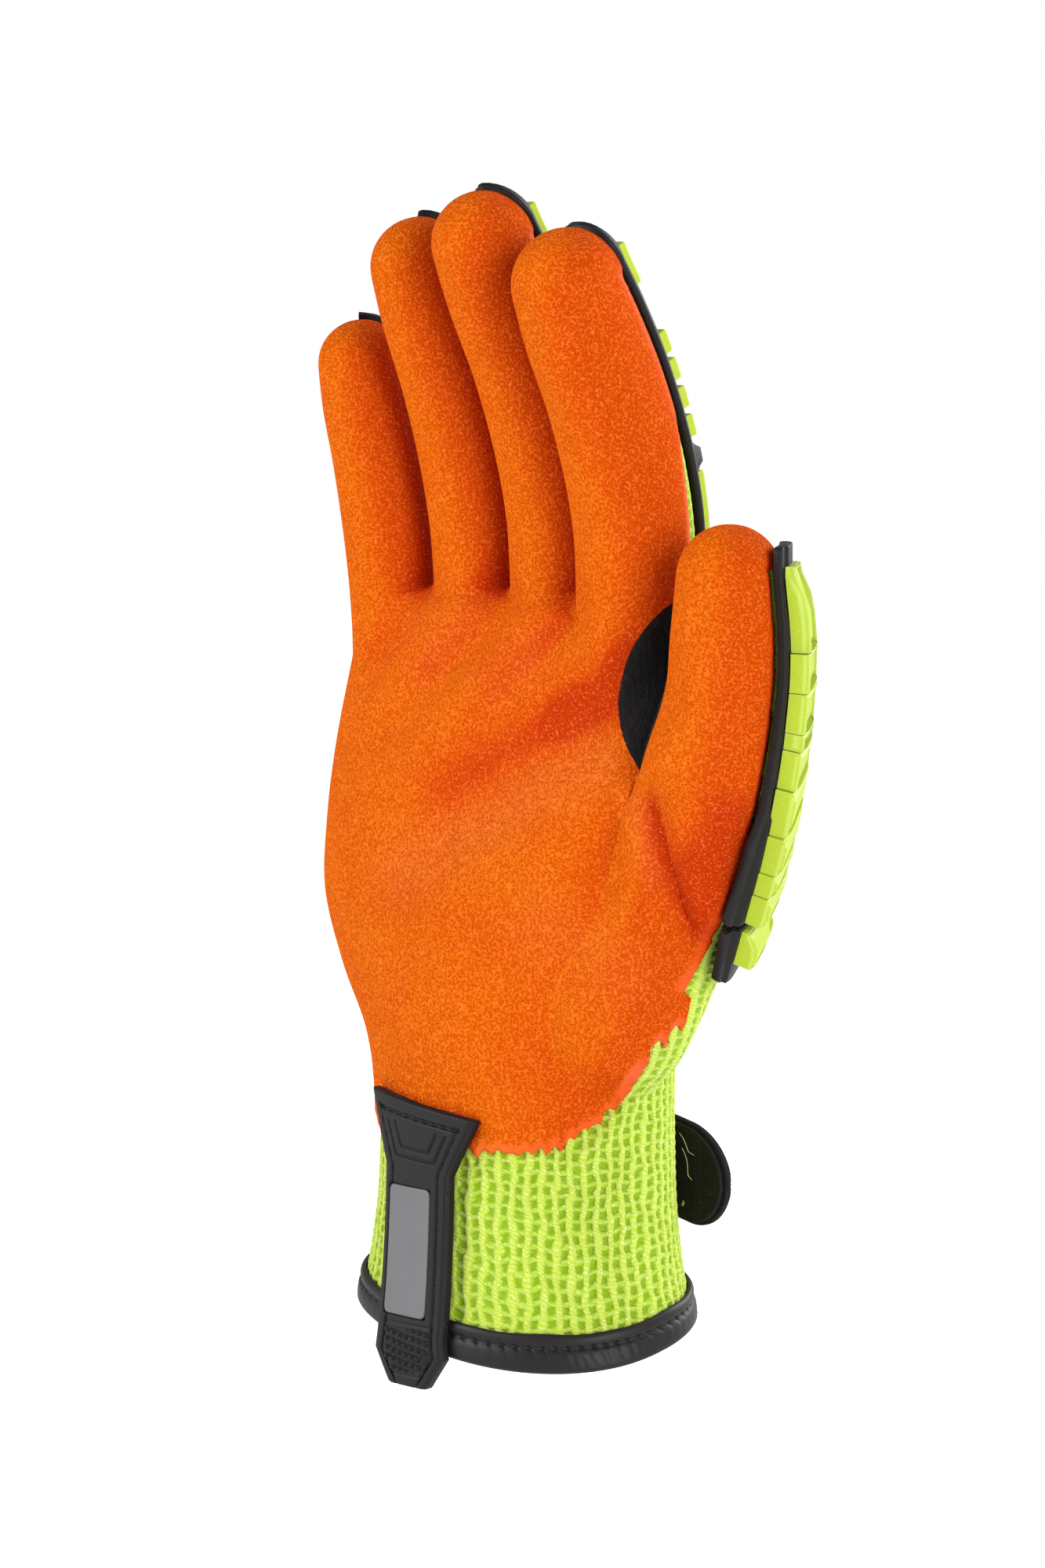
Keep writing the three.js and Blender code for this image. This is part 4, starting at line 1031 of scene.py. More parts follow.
class Hand:
    """The smooth outer surface of the knitted hand, joined from the palm and the digits."""
    made = None

    def __init__(self, voxel):
        angle = np.arange(96) * 2 * np.pi / 96
        heights = np.linspace(-14, PALM_HEIGHT, 84)
        body = palm_points(angle[None], np.maximum(heights, 0)[:, None])
        body[:, :, 2] += np.minimum(heights, 0)[:, None]
        share = np.sin(np.linspace(0, np.pi / 2, 8)[1:])
        share[-1] = 0.999
        shrink = np.sqrt(1 - share**2)
        cx, cy, half_width, half_depth, _, power = palm_values(np.array(PALM_HEIGHT))
        crown_x = cx + signed_power(np.cos(angle), 2 / power) * half_width * (0.85 + 0.15 * shrink[:, None])
        crown_y = cy + signed_power(np.sin(angle), 2 / power) * half_depth * shrink[:, None]
        crown_z = np.broadcast_to(PALM_HEIGHT + share[:, None] * PALM_CROWN, crown_x.shape)
        lofts = [np.concatenate([body, np.stack([crown_x, crown_y, crown_z], axis=-1)])]
        lofts += [digit.rings(0.0, 48) for digit in DIGIT.values()]
        meshes = []
        for rings in lofts:
            points, faces, caps = loft(rings * MM)
            mesh = make_mesh("part of the hand", points, faces, caps)
            face_outwards(mesh)
            meshes.append(mesh)
        work = bmesh.new()
        for mesh in meshes:
            work.from_mesh(mesh)
        whole = bpy.data.meshes.new("hand")
        work.to_mesh(whole)
        work.free()
        form = bpy.data.objects.new("hand form", whole)
        bpy.context.scene.collection.objects.link(form)
        remesh = form.modifiers.new("join", "REMESH")
        remesh.mode = "VOXEL"
        remesh.voxel_size = voxel
        graph = bpy.context.evaluated_depsgraph_get()
        solid = bpy.data.meshes.new_from_object(form.evaluated_get(graph))
        self.points, self.faces, self.edges = mesh_arrays(solid)
        bpy.data.objects.remove(form)
        bpy.data.meshes.remove(whole)
        bpy.data.meshes.remove(solid)
        for mesh in meshes:
            bpy.data.meshes.remove(mesh)
        self.find_digits()
        self.shape()

    def find_digits(self):
        """For each point, which digit it belongs to (or -1 for the palm), its share of the rise and its
        sideways and backward shares."""
        count = len(self.points)
        self.digit = np.full(count, -1)
        best = np.full(count, 1.35)
        self.up, self.x, self.y = np.zeros(count), np.zeros(count), np.zeros(count)
        for k, name in enumerate(DIGIT):
            up, x, y = digit_share(name, self.points)
            off = np.hypot(x, y)
            start = 0.04 if name != "thumb" else 0.12
            own = (up > start) & (off < best)
            self.digit[own] = k
            best[own] = off[own]
            self.up[own], self.x[own], self.y[own] = up[own], x[own], y[own]

    def shape(self):
        """Rounds the joins between palm and digits, then presses in the folds of the palm side."""
        x, z = self.points[:, 0] / MM, self.points[:, 2] / MM
        near_webs = smoothstep(122, 134, z) * smoothstep(162, 148, z)
        thumb_up = digit_share("thumb", self.points)[0]
        near_thumb = smoothstep(-0.2, 0.0, thumb_up) * smoothstep(0.62, 0.45, thumb_up)
        near_thumb = near_thumb * smoothstep(18, 30, x)
        share = 0.5 * np.clip(0.15 + near_webs + near_thumb, 0, 1)
        points = smooth_points(self.points, self.edges, 10, share)
        points = smooth_points(points, self.edges, 6, 0.4)
        normals = vertex_normals(points, self.faces)
        pressed = strokes(photo_place(points), normals @ TOWARD_CAMERA, FOLDS)
        points = points + normals * (pressed * MM)[:, None]
        self.points = smooth_points(points, self.edges, 3, 0.4)
        self.normals = vertex_normals(self.points, self.faces)

    @classmethod
    def get(cls, voxel):
        """The hand, made once and then used by every piece that lies on it."""
        if cls.made is None:
            cls.made = cls(voxel)
        return cls.made


def palm_angle(points):
    """Angle round the palm's section in degrees, from -270 to 90, with the thumb side at 0."""
    cx, cy, half_width, half_depth, _, power = palm_values(points[:, 2] / MM)
    x = (points[:, 0] / MM - cx) / half_width
    y = (points[:, 1] / MM - cy) / half_depth
    angle = np.degrees(np.arctan2(signed_power(y, power / 2), signed_power(x, power / 2)))
    return np.where(angle > 90, angle - 360, angle)


def palm_share(points):
    """How far out each point lies in the palm's superellipse section: 1 is on it, more is outside it.
    (|x|^n + |y|^n)^(1/n) of the shares of the half width and half depth."""
    z = points[:, 2] / MM
    for _ in range(3):
        cx, cy, half_width, half_depth, dip, power = palm_values(z)
        z = points[:, 2] / MM + dip * hem_drop(points[:, 0] / MM, points[:, 1] / MM)
    x = np.abs(points[:, 0] / MM - cx) / half_width
    y = np.abs(points[:, 1] / MM - cy) / half_depth
    return (x**power + y**power) ** (1 / power)


def knit_cells(points, region):
    """Columns and rows of the waffle at each point: round and along the palm, or round and along the
    digit whose number is region."""
    column = (palm_angle(points) / 360) * CUFF_COLUMNS
    row = points[:, 2] / MM / ROW_PITCH
    for k, name in enumerate(DIGIT):
        own = region == k
        if own.any():
            share, x, y = digit_share(name, points[own])
            column[own] = np.arctan2(y, x) / (2 * np.pi) * DIGIT_COLUMNS
            row[own] = share * DIGIT[name].rise / ROW_PITCH
    return column, row


def waffle_height(column, row):
    """Height of the waffle from 0 to 1: the higher of the upright ribs, a smooth step of cos(2 pi column),
    and the lower cross bars, a smooth step of cos(2 pi row)."""
    rib = smoothstep(-0.75, 0.5, np.cos(2 * np.pi * column))
    bar = smoothstep(-0.35, 0.85, np.cos(2 * np.pi * row))
    return np.maximum(rib * (0.9 + 0.1 * np.cos(2 * np.pi * row)), 0.68 * bar)


def coating_field(points):
    """How far inside the coating each point lies, in millimetres: over the wavy lower edge on the palm
    side, and forward of the back strip on each digit."""
    place = points / MM
    angle = palm_angle(points)
    angles, heights = np.array(COATING_EDGE, float).T
    edge = np.interp(angle, angles, heights, left=200, right=200)
    column = angle / 360 * CUFF_COLUMNS
    step = 0.5 * signed_power(np.cos(2 * np.pi * column), 0.6) + 0.35 * np.sin(2.1 * column) \
        + 0.3 * np.sin(5.3 * column + 1)
    seen = photo_place(points)
    in_cell = column - np.round(column)
    edge_row = np.interp(seen[:, 0] - 0.8 * in_cell * CELL_PIXELS, *np.array(COATING_EDGE_SEEN, float).T)
    millimetres_a_pixel = CAMERA_DISTANCE / MM * SENSOR_HEIGHT / CAMERA_LENS / PHOTO_SIZE[1]
    facing = smoothstep(0.05, 0.3, np.cos(np.radians(angle) - (CAMERA_TURN - math.pi / 2)))
    field_seen = (edge_row - seen[:, 1]) * millimetres_a_pixel
    field = field_seen * facing + (place[:, 2] - edge) * (1 - facing) - step
    back = 0.1 * PALM_DEPTH - (place[:, 1] - palm_values(place[:, 2])[1])
    on_palm = np.minimum(field, np.where(place[:, 2] > 60, back + smoothstep(60, 80, place[:, 2]) * 1.5, 99))
    best = on_palm
    for name, digit in DIGIT.items():
        up, x, y = digit_share(name, points)
        reach = np.interp(up, digit.up, digit.back)
        limit = (reach - y) * digit.half_depth.mean()
        start = 0.1 if name == "thumb" else 0.02
        near = (np.hypot(x, y) < 1.35) & (up > start)
        side, low, high = THUMB_GUARD_CLEAR if name == "thumb" else FINGER_GUARD_CLEAR
        beside = (np.abs(x) - side) * digit.half_width.mean()
        beyond = (up - high) * digit.rise
        free = np.maximum(np.where((y > 0.3) & (up > low), beside, 99.0), beyond)
        if name != "thumb":
            limit = np.maximum(limit, beyond)
        best = np.where(near, np.minimum(limit, free), best)
    return best


def patch_field(points):
    """How far inside the crotch patch each point lies, in millimetres, from an ellipsoid."""
    place = points / MM
    centre = DIGIT["thumb"].at(0.72)[0]
    rel = (place - np.array([PALM_WIDTH * 0.5, centre[1] + PALM_DEPTH * 0.12, centre[2]])) \
        / np.array([13.0, 13.0, 21.0])
    return (1 - np.linalg.norm(rel, axis=1)) * 12.0


def cut_out(points, faces, field, fit_rounds=3):
    """Faces inside a field's zero line, with their rim moved onto the line along the field's gradient.
    Returns points, faces, the old numbers of the points kept, and the rim's edges in order of faces."""
    values = field(points)
    keep = values[faces].mean(axis=1) > 0
    used = np.unique(faces[keep])
    number = np.full(len(points), -1)
    number[used] = np.arange(len(used))
    new_faces = number[faces[keep]]
    new_points = points[used].copy()
    pairs = np.concatenate([new_faces[:, [k, (k + 1) % 4]] for k in range(4)])
    key = np.sort(pairs, axis=1)
    order = key[:, 0].astype(np.int64) * len(used) + key[:, 1]
    _, first, counts = np.unique(order, return_index=True, return_counts=True)
    rim = pairs[first[counts == 1]]
    on_rim = np.unique(rim)
    spot = new_points[on_rim]
    for _ in range(fit_rounds):
        value = field(spot)
        gradient = np.stack([(field(spot + step) - value) / 0.1 for step in np.eye(3) * 0.1 * MM], axis=1)
        length = np.maximum((gradient**2).sum(1), 0.05)
        move = -(value / length)[:, None] * gradient
        size = np.linalg.norm(move, axis=1, keepdims=True)
        spot = spot + move * np.minimum(1, 0.7 / np.maximum(size, 1e-9)) * MM
    new_points[on_rim] = spot
    return new_points, new_faces, used, rim


def add_rim(points, faces, rim, inner):
    """Closes the rim of an open shell with a wall down to the inner points of the same numbers."""
    on_rim = np.unique(rim)
    number = np.full(len(points), -1)
    number[on_rim] = np.arange(len(on_rim)) + len(points)
    wall = np.stack([rim[:, 1], rim[:, 0], number[rim[:, 0]], number[rim[:, 1]]], axis=1)
    return np.concatenate([points, inner[on_rim]]), np.concatenate([faces, wall])


def set_attribute(mesh, name, values):
    """Gives each point of a mesh a value that its material reads."""
    layer = mesh.attributes.new(name, "FLOAT", "POINT")
    layer.data.foreach_set("value", np.ascontiguousarray(values, dtype=np.float32))


def set_knit_uv(mesh, faces, column, row, turns):
    """UV map in columns and rows. Corners across the seam of the turn are brought next to their face's
    first corner."""
    u = column[faces]
    first = u[:, :1]
    u = u - np.round((u - first) / turns[:, None]) * turns[:, None]
    layer = mesh.uv_layers.new(name="knit")
    uv = np.stack([u, row[faces]], axis=-1).reshape(-1)
    layer.data.foreach_set("uv", np.ascontiguousarray(uv, dtype=np.float32))


class GLOVE_OT_stage(bpy.types.Operator):
    """Build the camera, the lights, the floor and the backdrop"""
    bl_idname = "glove.stage"
    bl_label = "Stage"

    def execute(self, context):
        stage = context.scene.glove_stage
        toward = Vector(TOWARD_CAMERA)
        data = bpy.data.cameras.new("camera")
        data.sensor_fit = "VERTICAL"
        data.sensor_height = SENSOR_HEIGHT
        data.lens = CAMERA_LENS
        data.clip_start = 0.01
        camera = bpy.data.objects.new("camera", data)
        camera.location = Vector(LOOK_AT) + toward * CAMERA_DISTANCE
        camera.rotation_euler = (-toward).to_track_quat("-Z", "Y").to_euler()
        context.scene.collection.objects.link(camera)
        context.scene.camera = camera
        self.add_light(context, "key light", KEY_LIGHT_PLACE, FRONT_LIGHT_SIZE, stage.key)
        self.add_light(context, "fill light", FILL_LIGHT_PLACE, FRONT_LIGHT_SIZE, stage.fill)
        self.add_light(context, "back light", BACK_LIGHT_PLACE, BACK_LIGHT_SIZE, stage.fill)
        self.add_backdrop(context)
        world = bpy.data.worlds.new("white surround")
        context.scene.world = world
        world.use_nodes = True
        w = Wires(world.node_tree)
        seen = w.node("LightPath").outputs["Is Camera Ray"]
        background = world.node_tree.nodes["Background"]
        background.inputs[0].default_value = (1, 1, 1, 1)
        w.put(background.inputs[1], w.math("MAXIMUM", seen, stage.surround))
        context.scene.view_settings.view_transform = "Standard"
        return {"FINISHED"}

    @staticmethod
    def add_light(context, name, place, size, power):
        """Adds a round light that looks at the glove."""
        data = bpy.data.lights.new(name, "AREA")
        data.shape = "DISK"
        data.size = size
        data.energy = power
        light = bpy.data.objects.new(name, data)
        light.location = place
        light.rotation_euler = (Vector(LOOK_AT) - Vector(place)).to_track_quat("-Z", "Y").to_euler()
        context.scene.collection.objects.link(light)

    @staticmethod
    def add_backdrop(context):
        """Floor as a wide flat grid a little below the tab's end."""
        steps = np.linspace(-FLOOR_REACH, FLOOR_REACH, 9)
        x, y = np.meshgrid(steps, steps)
        points = np.stack([x, y, np.full_like(x, FLOOR_LEVEL)], axis=-1).reshape(-1, 3)
        mesh = make_mesh("floor", points, quad_grid(9, 9))
        material, w, shader, place = new_material("white floor")
        speckle = w.noise(place, 40.0, 2.0)
        w.put(shader.inputs["Base Color"], w.mix(speckle, (0.95, 0.95, 0.95, 1), (1, 1, 1, 1)))
        set_sockets(shader, {"Roughness": 0.9, "Specular IOR Level": 0.1, "Emission Color": (1, 1, 1, 1)})
        seen = w.node("LightPath").outputs["Is Camera Ray"]
        w.put(shader.inputs["Emission Strength"], w.math("MULTIPLY", seen, 0.6))
        mesh.materials.append(material)
        floor = bpy.data.objects.new("floor", mesh)
        context.scene.collection.objects.link(floor)


class GLOVE_OT_finishes(bpy.types.Operator):
    """Build the shader groups and the materials"""
    bl_idname = "glove.finishes"
    bl_label = "Finishes"

    def execute(self, context):
        colours = context.scene.glove_colours
        build_waffle_group()
        build_pores_group()
        build_grain_group()
        build_edge_group()
        knit_material(colours)
        foam_material(colours)
        rubber_material("black moulded rubber", colours.rubber, (0.035, 0.033, 0.033), 0.42, 0.5, 0.15)
        rubber_material("lime moulded rubber", colours.lime, (0.52, 0.68, 0.17), 0.38, 0.5, 0.1, 0.35)
        rubber_material("black leatherette", colours.rubber, (0.03, 0.028, 0.027), 0.36, 0.4, 0.1, 0.28)
        ribbed_cloth_material("black ribbed cloth", colour(14, 11, 12)[:3], colour(52, 46, 50)[:3], 900.0)
        ribbed_cloth_material("black strap cloth", colour(24, 22, 22)[:3], colour(52, 50, 50)[:3], 1400.0)
        rubber_material("black hook tape", colour(20, 17, 12)[:3], (0.02, 0.017, 0.012), 0.6)
        plate_material(colours)
        rubber_material("pale thread", colour(190, 215, 130)[:3], colour(210, 230, 160)[:3], 0.6, 0.2, 0.0)
        return {"FINISHED"}


class GLOVE_OT_knit(bpy.types.Operator):
    """Build the waffle-knitted cuff, the knitted hand and the inside of the glove"""
    bl_idname = "glove.knit"
    bl_label = "Knit"

    def execute(self, context):
        sizes = context.scene.glove_sizes
        hand = Hand.get(sizes.voxel)
        knit_nodes = [node for node in NODES if node.startswith("knit_")]
        self.add_cuff(sizes, [node for node in knit_nodes if node == "knit_palm"])
        self.add_hand(hand, sizes, [node for node in knit_nodes if node != "knit_palm"])
        self.add_inside()
        return {"FINISHED"}

    @staticmethod
    def add_cuff(sizes, nodes):
        """Grid round and up the cuff: the palm's rings pushed out by the waffle's height, with a soft
        fold below the coating's edge on the thumb side."""
        round_steps, row_steps = 7, 6
        columns = CUFF_COLUMNS * round_steps
        rows = int(CUFF_TOP / ROW_PITCH * row_steps)
        angle = -np.arange(columns) * 360 / columns + 90
        z = np.linspace(-0.5, CUFF_TOP, rows)
        angle_grid, z_grid = np.meshgrid(angle, z)
        base = palm_points(np.radians(angle_grid), z_grid)
        normals = -grid_normals(np.concatenate([base, base[:, :1]], axis=1))[:, :-1]
        outward = np.sign(np.einsum("ijk,ijk->ij", normals[..., :2], base[..., :2])).mean()
        normals = normals * outward
        turn = np.radians(angle_grid)
        column = angle_grid / 360 * CUFF_COLUMNS + 0.1 * np.sin(0.55 * z_grid + 2 * np.sin(9 * turn)) \
            + 0.06 * np.sin(1.3 * z_grid + 23 * turn)
        row = z_grid / ROW_PITCH + 0.12 * np.sin(14 * turn + 0.3 * z_grid) + 0.08 * np.sin(31 * turn)
        height = waffle_height(column, row)
        fade = smoothstep(-1, 3, z_grid)
        lift = (height - WAFFLE_MIDDLE) * sizes.waffle / MM * fade
        ridge = line_distance(photo_place(base.reshape(-1, 3) * MM), CUFF_FOLD_SEEN)
        lift = lift + (CUFF_FOLD_HEIGHT * np.exp(-(ridge / CUFF_FOLD_WIDTH) ** 2)).reshape(lift.shape)
        points = (base + normals * lift[..., None]).reshape(-1, 3) * MM
        faces = quad_grid(rows, columns, wrap=True)[:, ::-1]
        mesh = make_mesh("knit_cuff", points, faces)
        set_knit_uv(mesh, faces, column.ravel(), row.ravel(), np.full(len(faces), float(CUFF_COLUMNS)))
        add_piece("knit_cuff", mesh, "lime waffle knit", nodes)

    @staticmethod
    def add_hand(hand, sizes, nodes):
        """The joined hand above the cuff, without the part that the coating hides, with the waffle pushed
        out of it more softly."""
        field = coating_field(hand.points)
        above = hand.points[:, 2] / MM
        bulge = palm_share(hand.points) > 1.015
        stands_out = bulge[hand.faces].any(axis=1) & (above[hand.faces].min(axis=1) > 30)
        high = above[hand.faces].min(axis=1) > HAND_FROM
        keep = (field[hand.faces].min(axis=1) < 2.5) & (high | stands_out)
        used = np.unique(hand.faces[keep])
        number = np.full(len(hand.points), -1)
        number[used] = np.arange(len(used))
        faces = number[hand.faces[keep]]
        region = hand.digit[used]
        base = hand.points[used]
        column, row = knit_cells(base, region)
        lift = (waffle_height(column, row) - WAFFLE_MIDDLE) * sizes.waffle * 0.7
        points = base + hand.normals[used] * lift[:, None]
        mesh = make_mesh("knit_hand", points, faces)
        face_region = region[faces[:, 0]]
        corner_points = base[faces].reshape(-1, 3)
        corner_region = np.repeat(face_region, 4)
        corner_column, corner_row = knit_cells(corner_points, corner_region)
        turns = np.where(face_region < 0, float(CUFF_COLUMNS), float(DIGIT_COLUMNS))
        index = np.arange(len(corner_points)).reshape(-1, 4)
        set_knit_uv(mesh, index, corner_column, corner_row, turns)
        add_piece("knit_hand", mesh, "lime waffle knit", nodes)

    @staticmethod
    def add_inside():
        """Inner face of the cuff and palm: the palm's rings drawn in by the knit's wall, closed above."""
        sides = 120
        angle = np.linspace(0, 2 * np.pi, sides, endpoint=False)
        z = np.linspace(-0.3, PALM_HEIGHT * 0.97, 90)
        rings = palm_points(angle[None], z[:, None], -1.7 - 4.5 * smoothstep(60, 85, z)[:, None])
        points = np.concatenate([rings.reshape(-1, 3), rings[-1].mean(0)[None] + [[0, 0, 2.0]]]) * MM
        faces = quad_grid(len(z), sides, wrap=True)[:, ::-1]
        top = (len(z) - 1) * sides
        caps = [(len(points) - 1, top + (j + 1) % sides, top + j) for j in range(sides)]
        mesh = make_mesh("knit_inside", points, faces, caps)
        loops = np.empty(len(mesh.loops), np.int32)
        mesh.loops.foreach_get("vertex_index", loops)
        column = palm_angle(points) / 360 * CUFF_COLUMNS
        layer = mesh.uv_layers.new(name="knit")
        uv = np.stack([column[loops], points[loops, 2] / MM / ROW_PITCH], axis=-1)
        layer.data.foreach_set("uv", np.ascontiguousarray(uv, dtype=np.float32).ravel())
        add_piece("knit_inside", mesh, "lime waffle knit")


class GLOVE_OT_coating(bpy.types.Operator):
    """Build the foam coating and the ribbed patch in the thumb crotch"""
    bl_idname = "glove.coating"
    bl_label = "Coating"

    def execute(self, context):
        sizes = context.scene.glove_sizes
        hand = Hand.get(sizes.voxel)
        self.add_coating(hand, sizes)
        self.add_patch(hand)
        return {"FINISHED"}

    @staticmethod
    def add_coating(hand, sizes):
        """Faces of the hand inside the coating's edge, lifted by its thickness, which thins out over the
        last 2 mm before the edge, with the knit's columns showing through low on the cuff. The painted shade
        grows where the surface turns away from the key light's place and along the painted shade bands, and a
        painted highlight lies along the pale bands."""
        points, faces, used, rim = cut_out(hand.points, hand.faces, coating_field)
        normals = hand.normals[used]
        inside = np.maximum(coating_field(points), 0)
        full = smoothstep(0, 2.2, inside)
        z = points[:, 2] / MM
        column = palm_angle(points) / 360 * CUFF_COLUMNS
        ribs = waffle_height(column, z / ROW_PITCH) * smoothstep(80, 45, z) * 0.22
        lift = 0.5 * MM + (sizes.coating - 0.5 * MM) * full + ribs * MM
        outer = points + normals * lift[:, None]
        inner = points + normals * (0.05 * MM)
        all_points, all_faces = add_rim(outer, faces, rim, inner)
        mesh = make_mesh("palm_coating", all_points, all_faces)

        def with_rim(values, at_rim):
            return np.concatenate([values, np.full(len(all_points) - len(points), at_rim)])

        low = smoothstep(75, 66, z)
        edge = (1 - smoothstep(0.4, 2.6, inside)) * np.maximum(low, 0.6)
        set_attribute(mesh, "edge", with_rim(edge, 1.0))
        # Painted shade: the coating is painted deeper red where it turns away from the key light and along
        # the painted shade bands
        lit = normals @ unit(np.array(KEY_LIGHT_PLACE) - LOOK_AT)
        facing, places = normals @ TOWARD_CAMERA, photo_place(points)
        shade = 0.7 * smoothstep(0.85, 0.1, lit) + strokes(places, facing, PAINTED_SHADE_BANDS)
        set_attribute(mesh, "shade", with_rim(np.clip(shade, 0, 1), 0.0))
        # Painted highlight: the pale bands paint the coating paler along its lit ridges
        painted_highlight = np.clip(strokes(places, facing, PAINTED_HIGHLIGHT_BANDS), 0, 1)
        set_attribute(mesh, "painted_highlight", with_rim(painted_highlight, 0.0))
        add_piece("palm_coating_foam", mesh, "orange sandy foam",
                  ["palm_coating"])

    @staticmethod
    def add_patch(hand):
        """Faces of the hand inside the patch's ellipsoid, lifted over the coating, with upright ribs that
        are broken into short loops."""
        points, faces, used, rim = cut_out(hand.points, hand.faces, patch_field)
        normals = hand.normals[used]
        inside = np.maximum(patch_field(points), 0)
        across = points @ np.array([math.cos(CAMERA_TURN), math.sin(CAMERA_TURN), 0.12]) / MM
        loops = 0.4 + 0.6 * np.cos(2 * np.pi * points[:, 2] / MM / 2.1)
        ribs = 0.12 * np.cos(2 * np.pi * across / 1.5) * loops
        lift = 1.25 + 0.35 * smoothstep(0, 1.2, inside) + ribs * smoothstep(0, 1.0, inside)
        outer = points + normals * (lift * MM)[:, None]
        inner = points + normals * (0.2 * MM)
        all_points, all_faces = add_rim(outer, faces, rim, inner)
        mesh = make_mesh("crotch_patch", all_points, all_faces)
        add_piece("crotch_patch", mesh, "black ribbed cloth",
                  ["thumb_crotch_patch"])


def squareness(name):
    """How flat a digit's guard lies across it, as the power of its superellipse."""
    return THUMB_SQUARENESS if name == "thumb" else 2.0


def guard_map(name, rows):
    """Rows along a digit's guard and the function that turns sideways place, row and height into points."""
    digit = DIGIT[name]
    straight = name == "thumb"
    power = squareness(name)
    ups, wides = np.array(rows, float).T
    length = end_steps(ups[0] * digit.rise, ups[-1] * digit.rise, 3.0, 90)
    up = length / digit.rise
    _, along, across, deep, half_width, _ = digit.at(up)
    over = np.clip(np.maximum(up - 1, 0) * digit.rise / half_width, 0, 0.96)
    if straight:
        over = over * 0
    shrink = np.sqrt(1 - over**2)
    wide = np.interp(up, ups, wides) * half_width * np.maximum(shrink, 0.35)

    def point_at(x, row, height):
        side = np.clip(x / (half_width[row] * shrink[row]), -0.985, 0.985)
        base = digit.shell(side, up[row], straight, power)
        slope = signed_power(side, power - 1)
        fall = np.clip(1 - np.abs(side) ** power, 0.02, 1) ** ((power - 1) / power)
        normal = across[row] * slope[..., None] + deep[row] * fall[..., None]
        normal = unit(normal) * shrink[row][..., None] + along[row] * over[row][..., None]
        return base + unit(normal) * height[..., None]

    return length, wide, point_at


class GLOVE_OT_guards(bpy.types.Operator):
    """Build the black rubber guards on the digits and on the back of the hand"""
    bl_idname = "glove.guards"
    bl_label = "Guards"

    def execute(self, context):
        radius = context.scene.glove_sizes.guard_round / MM
        for name in FINGERS:
            length, wide, point_at = guard_map(name, LITTLE_GUARD if name == "little" else FINGER_GUARD)
            middle = DIGIT[name].rise * DARK_BLOCK_AT

            def relief(x, row):
                rim = 0.35 * smoothstep(0.3, 1.1, wide[row] - 1.3 - np.abs(x))
                block = smoothstep(2.4, 1.6, np.abs(length[row] - middle)) \
                    * smoothstep(0.8, 0.3, np.abs(x) - 0.62 * wide[row])
                return rim + 1.7 * block

            part = strip_solid(point_at, length, wide, LAYER_GAP, GUARD_TOP - 0.35, radius, (4.5, 4.5), 22,
                               relief)
            add_solid(f"{name}_guard", part, "black moulded rubber")
        for node, rows in (("thumb_guard", THUMB_GUARD), ("thumb_base_guard", THUMB_BASE_GUARD)):
            length, wide, point_at = guard_map("thumb", rows)

            def relief(x, row):
                edge = wide[row] - np.abs(x)
                return 0.5 * smoothstep(0.0, 0.25, edge - 1.9) + groove(edge - 1.6, 0.25, 0.4)

            part = strip_solid(point_at, length, wide, LAYER_GAP, GUARD_TOP - 0.3, 0.35, (1.2, 1.2), 60,
                               relief)
            add_solid(node, part, "black moulded rubber")
        self.add_back_guard(radius)
        return {"FINISHED"}

    @staticmethod
    def add_back_guard(radius):
        """Plate on the back of the hand: rows up the hand between its two side lines, in shares of the
        palm's width and height, with a groove round it just inside the edge."""
        low, high = BACK_GUARD_LEFT[0][0], BACK_GUARD_LEFT[-1][0]
        z = end_steps(low * PALM_HEIGHT, high * PALM_HEIGHT, 3.0, 80)
        left, right = (np.interp(z / PALM_HEIGHT, *np.array(side).T) * PALM_WIDTH
                       for side in (BACK_GUARD_LEFT, BACK_GUARD_RIGHT))
        centre, half = (left + right) / 2, (right - left) / 2

        def point_at(x, row, height):
            return palm_side(centre[row] + x, z[row], height, 1)

        def relief(x, row):
            inset = np.minimum(half[row] - np.abs(x), np.minimum(z[row] - z[0], z[-1] - z[row]))
            return 0.4 * smoothstep(1.6, 2.1, inset) + groove(inset - 1.5, 0.3, 0.3)

        part = strip_solid(point_at, z, half, LAYER_GAP, LAYER_GAP + BACK_GUARD_THICKNESS - 0.4, radius,
                           (5, 8), 90, relief)
        add_solid("back_guard", part, "black moulded rubber")


NO_SKIRT = (0.0, 0.0, 0.0)


def block_skirt(rows, at, long, rise):
    """How far a block's foot runs on at its lower and upper end, half way to the next block, and how high
    that foot is."""
    ends = sorted([row[0] - row[1] / 2 for row in rows] + [row[0] + row[1] / 2 for row in rows])
    start, end = at - long / 2, at + long / 2
    before = max([place for place in ends if place < start - 1e-6] or [start])
    after = min([place for place in ends if place > end + 1e-6] or [end])
    runs = [max(gap * rise / 2 - FOOT_GAP / 2, 0.0) for gap in (start - before, after - end)]
    return (*runs, GUARD_TOP + 1.4)


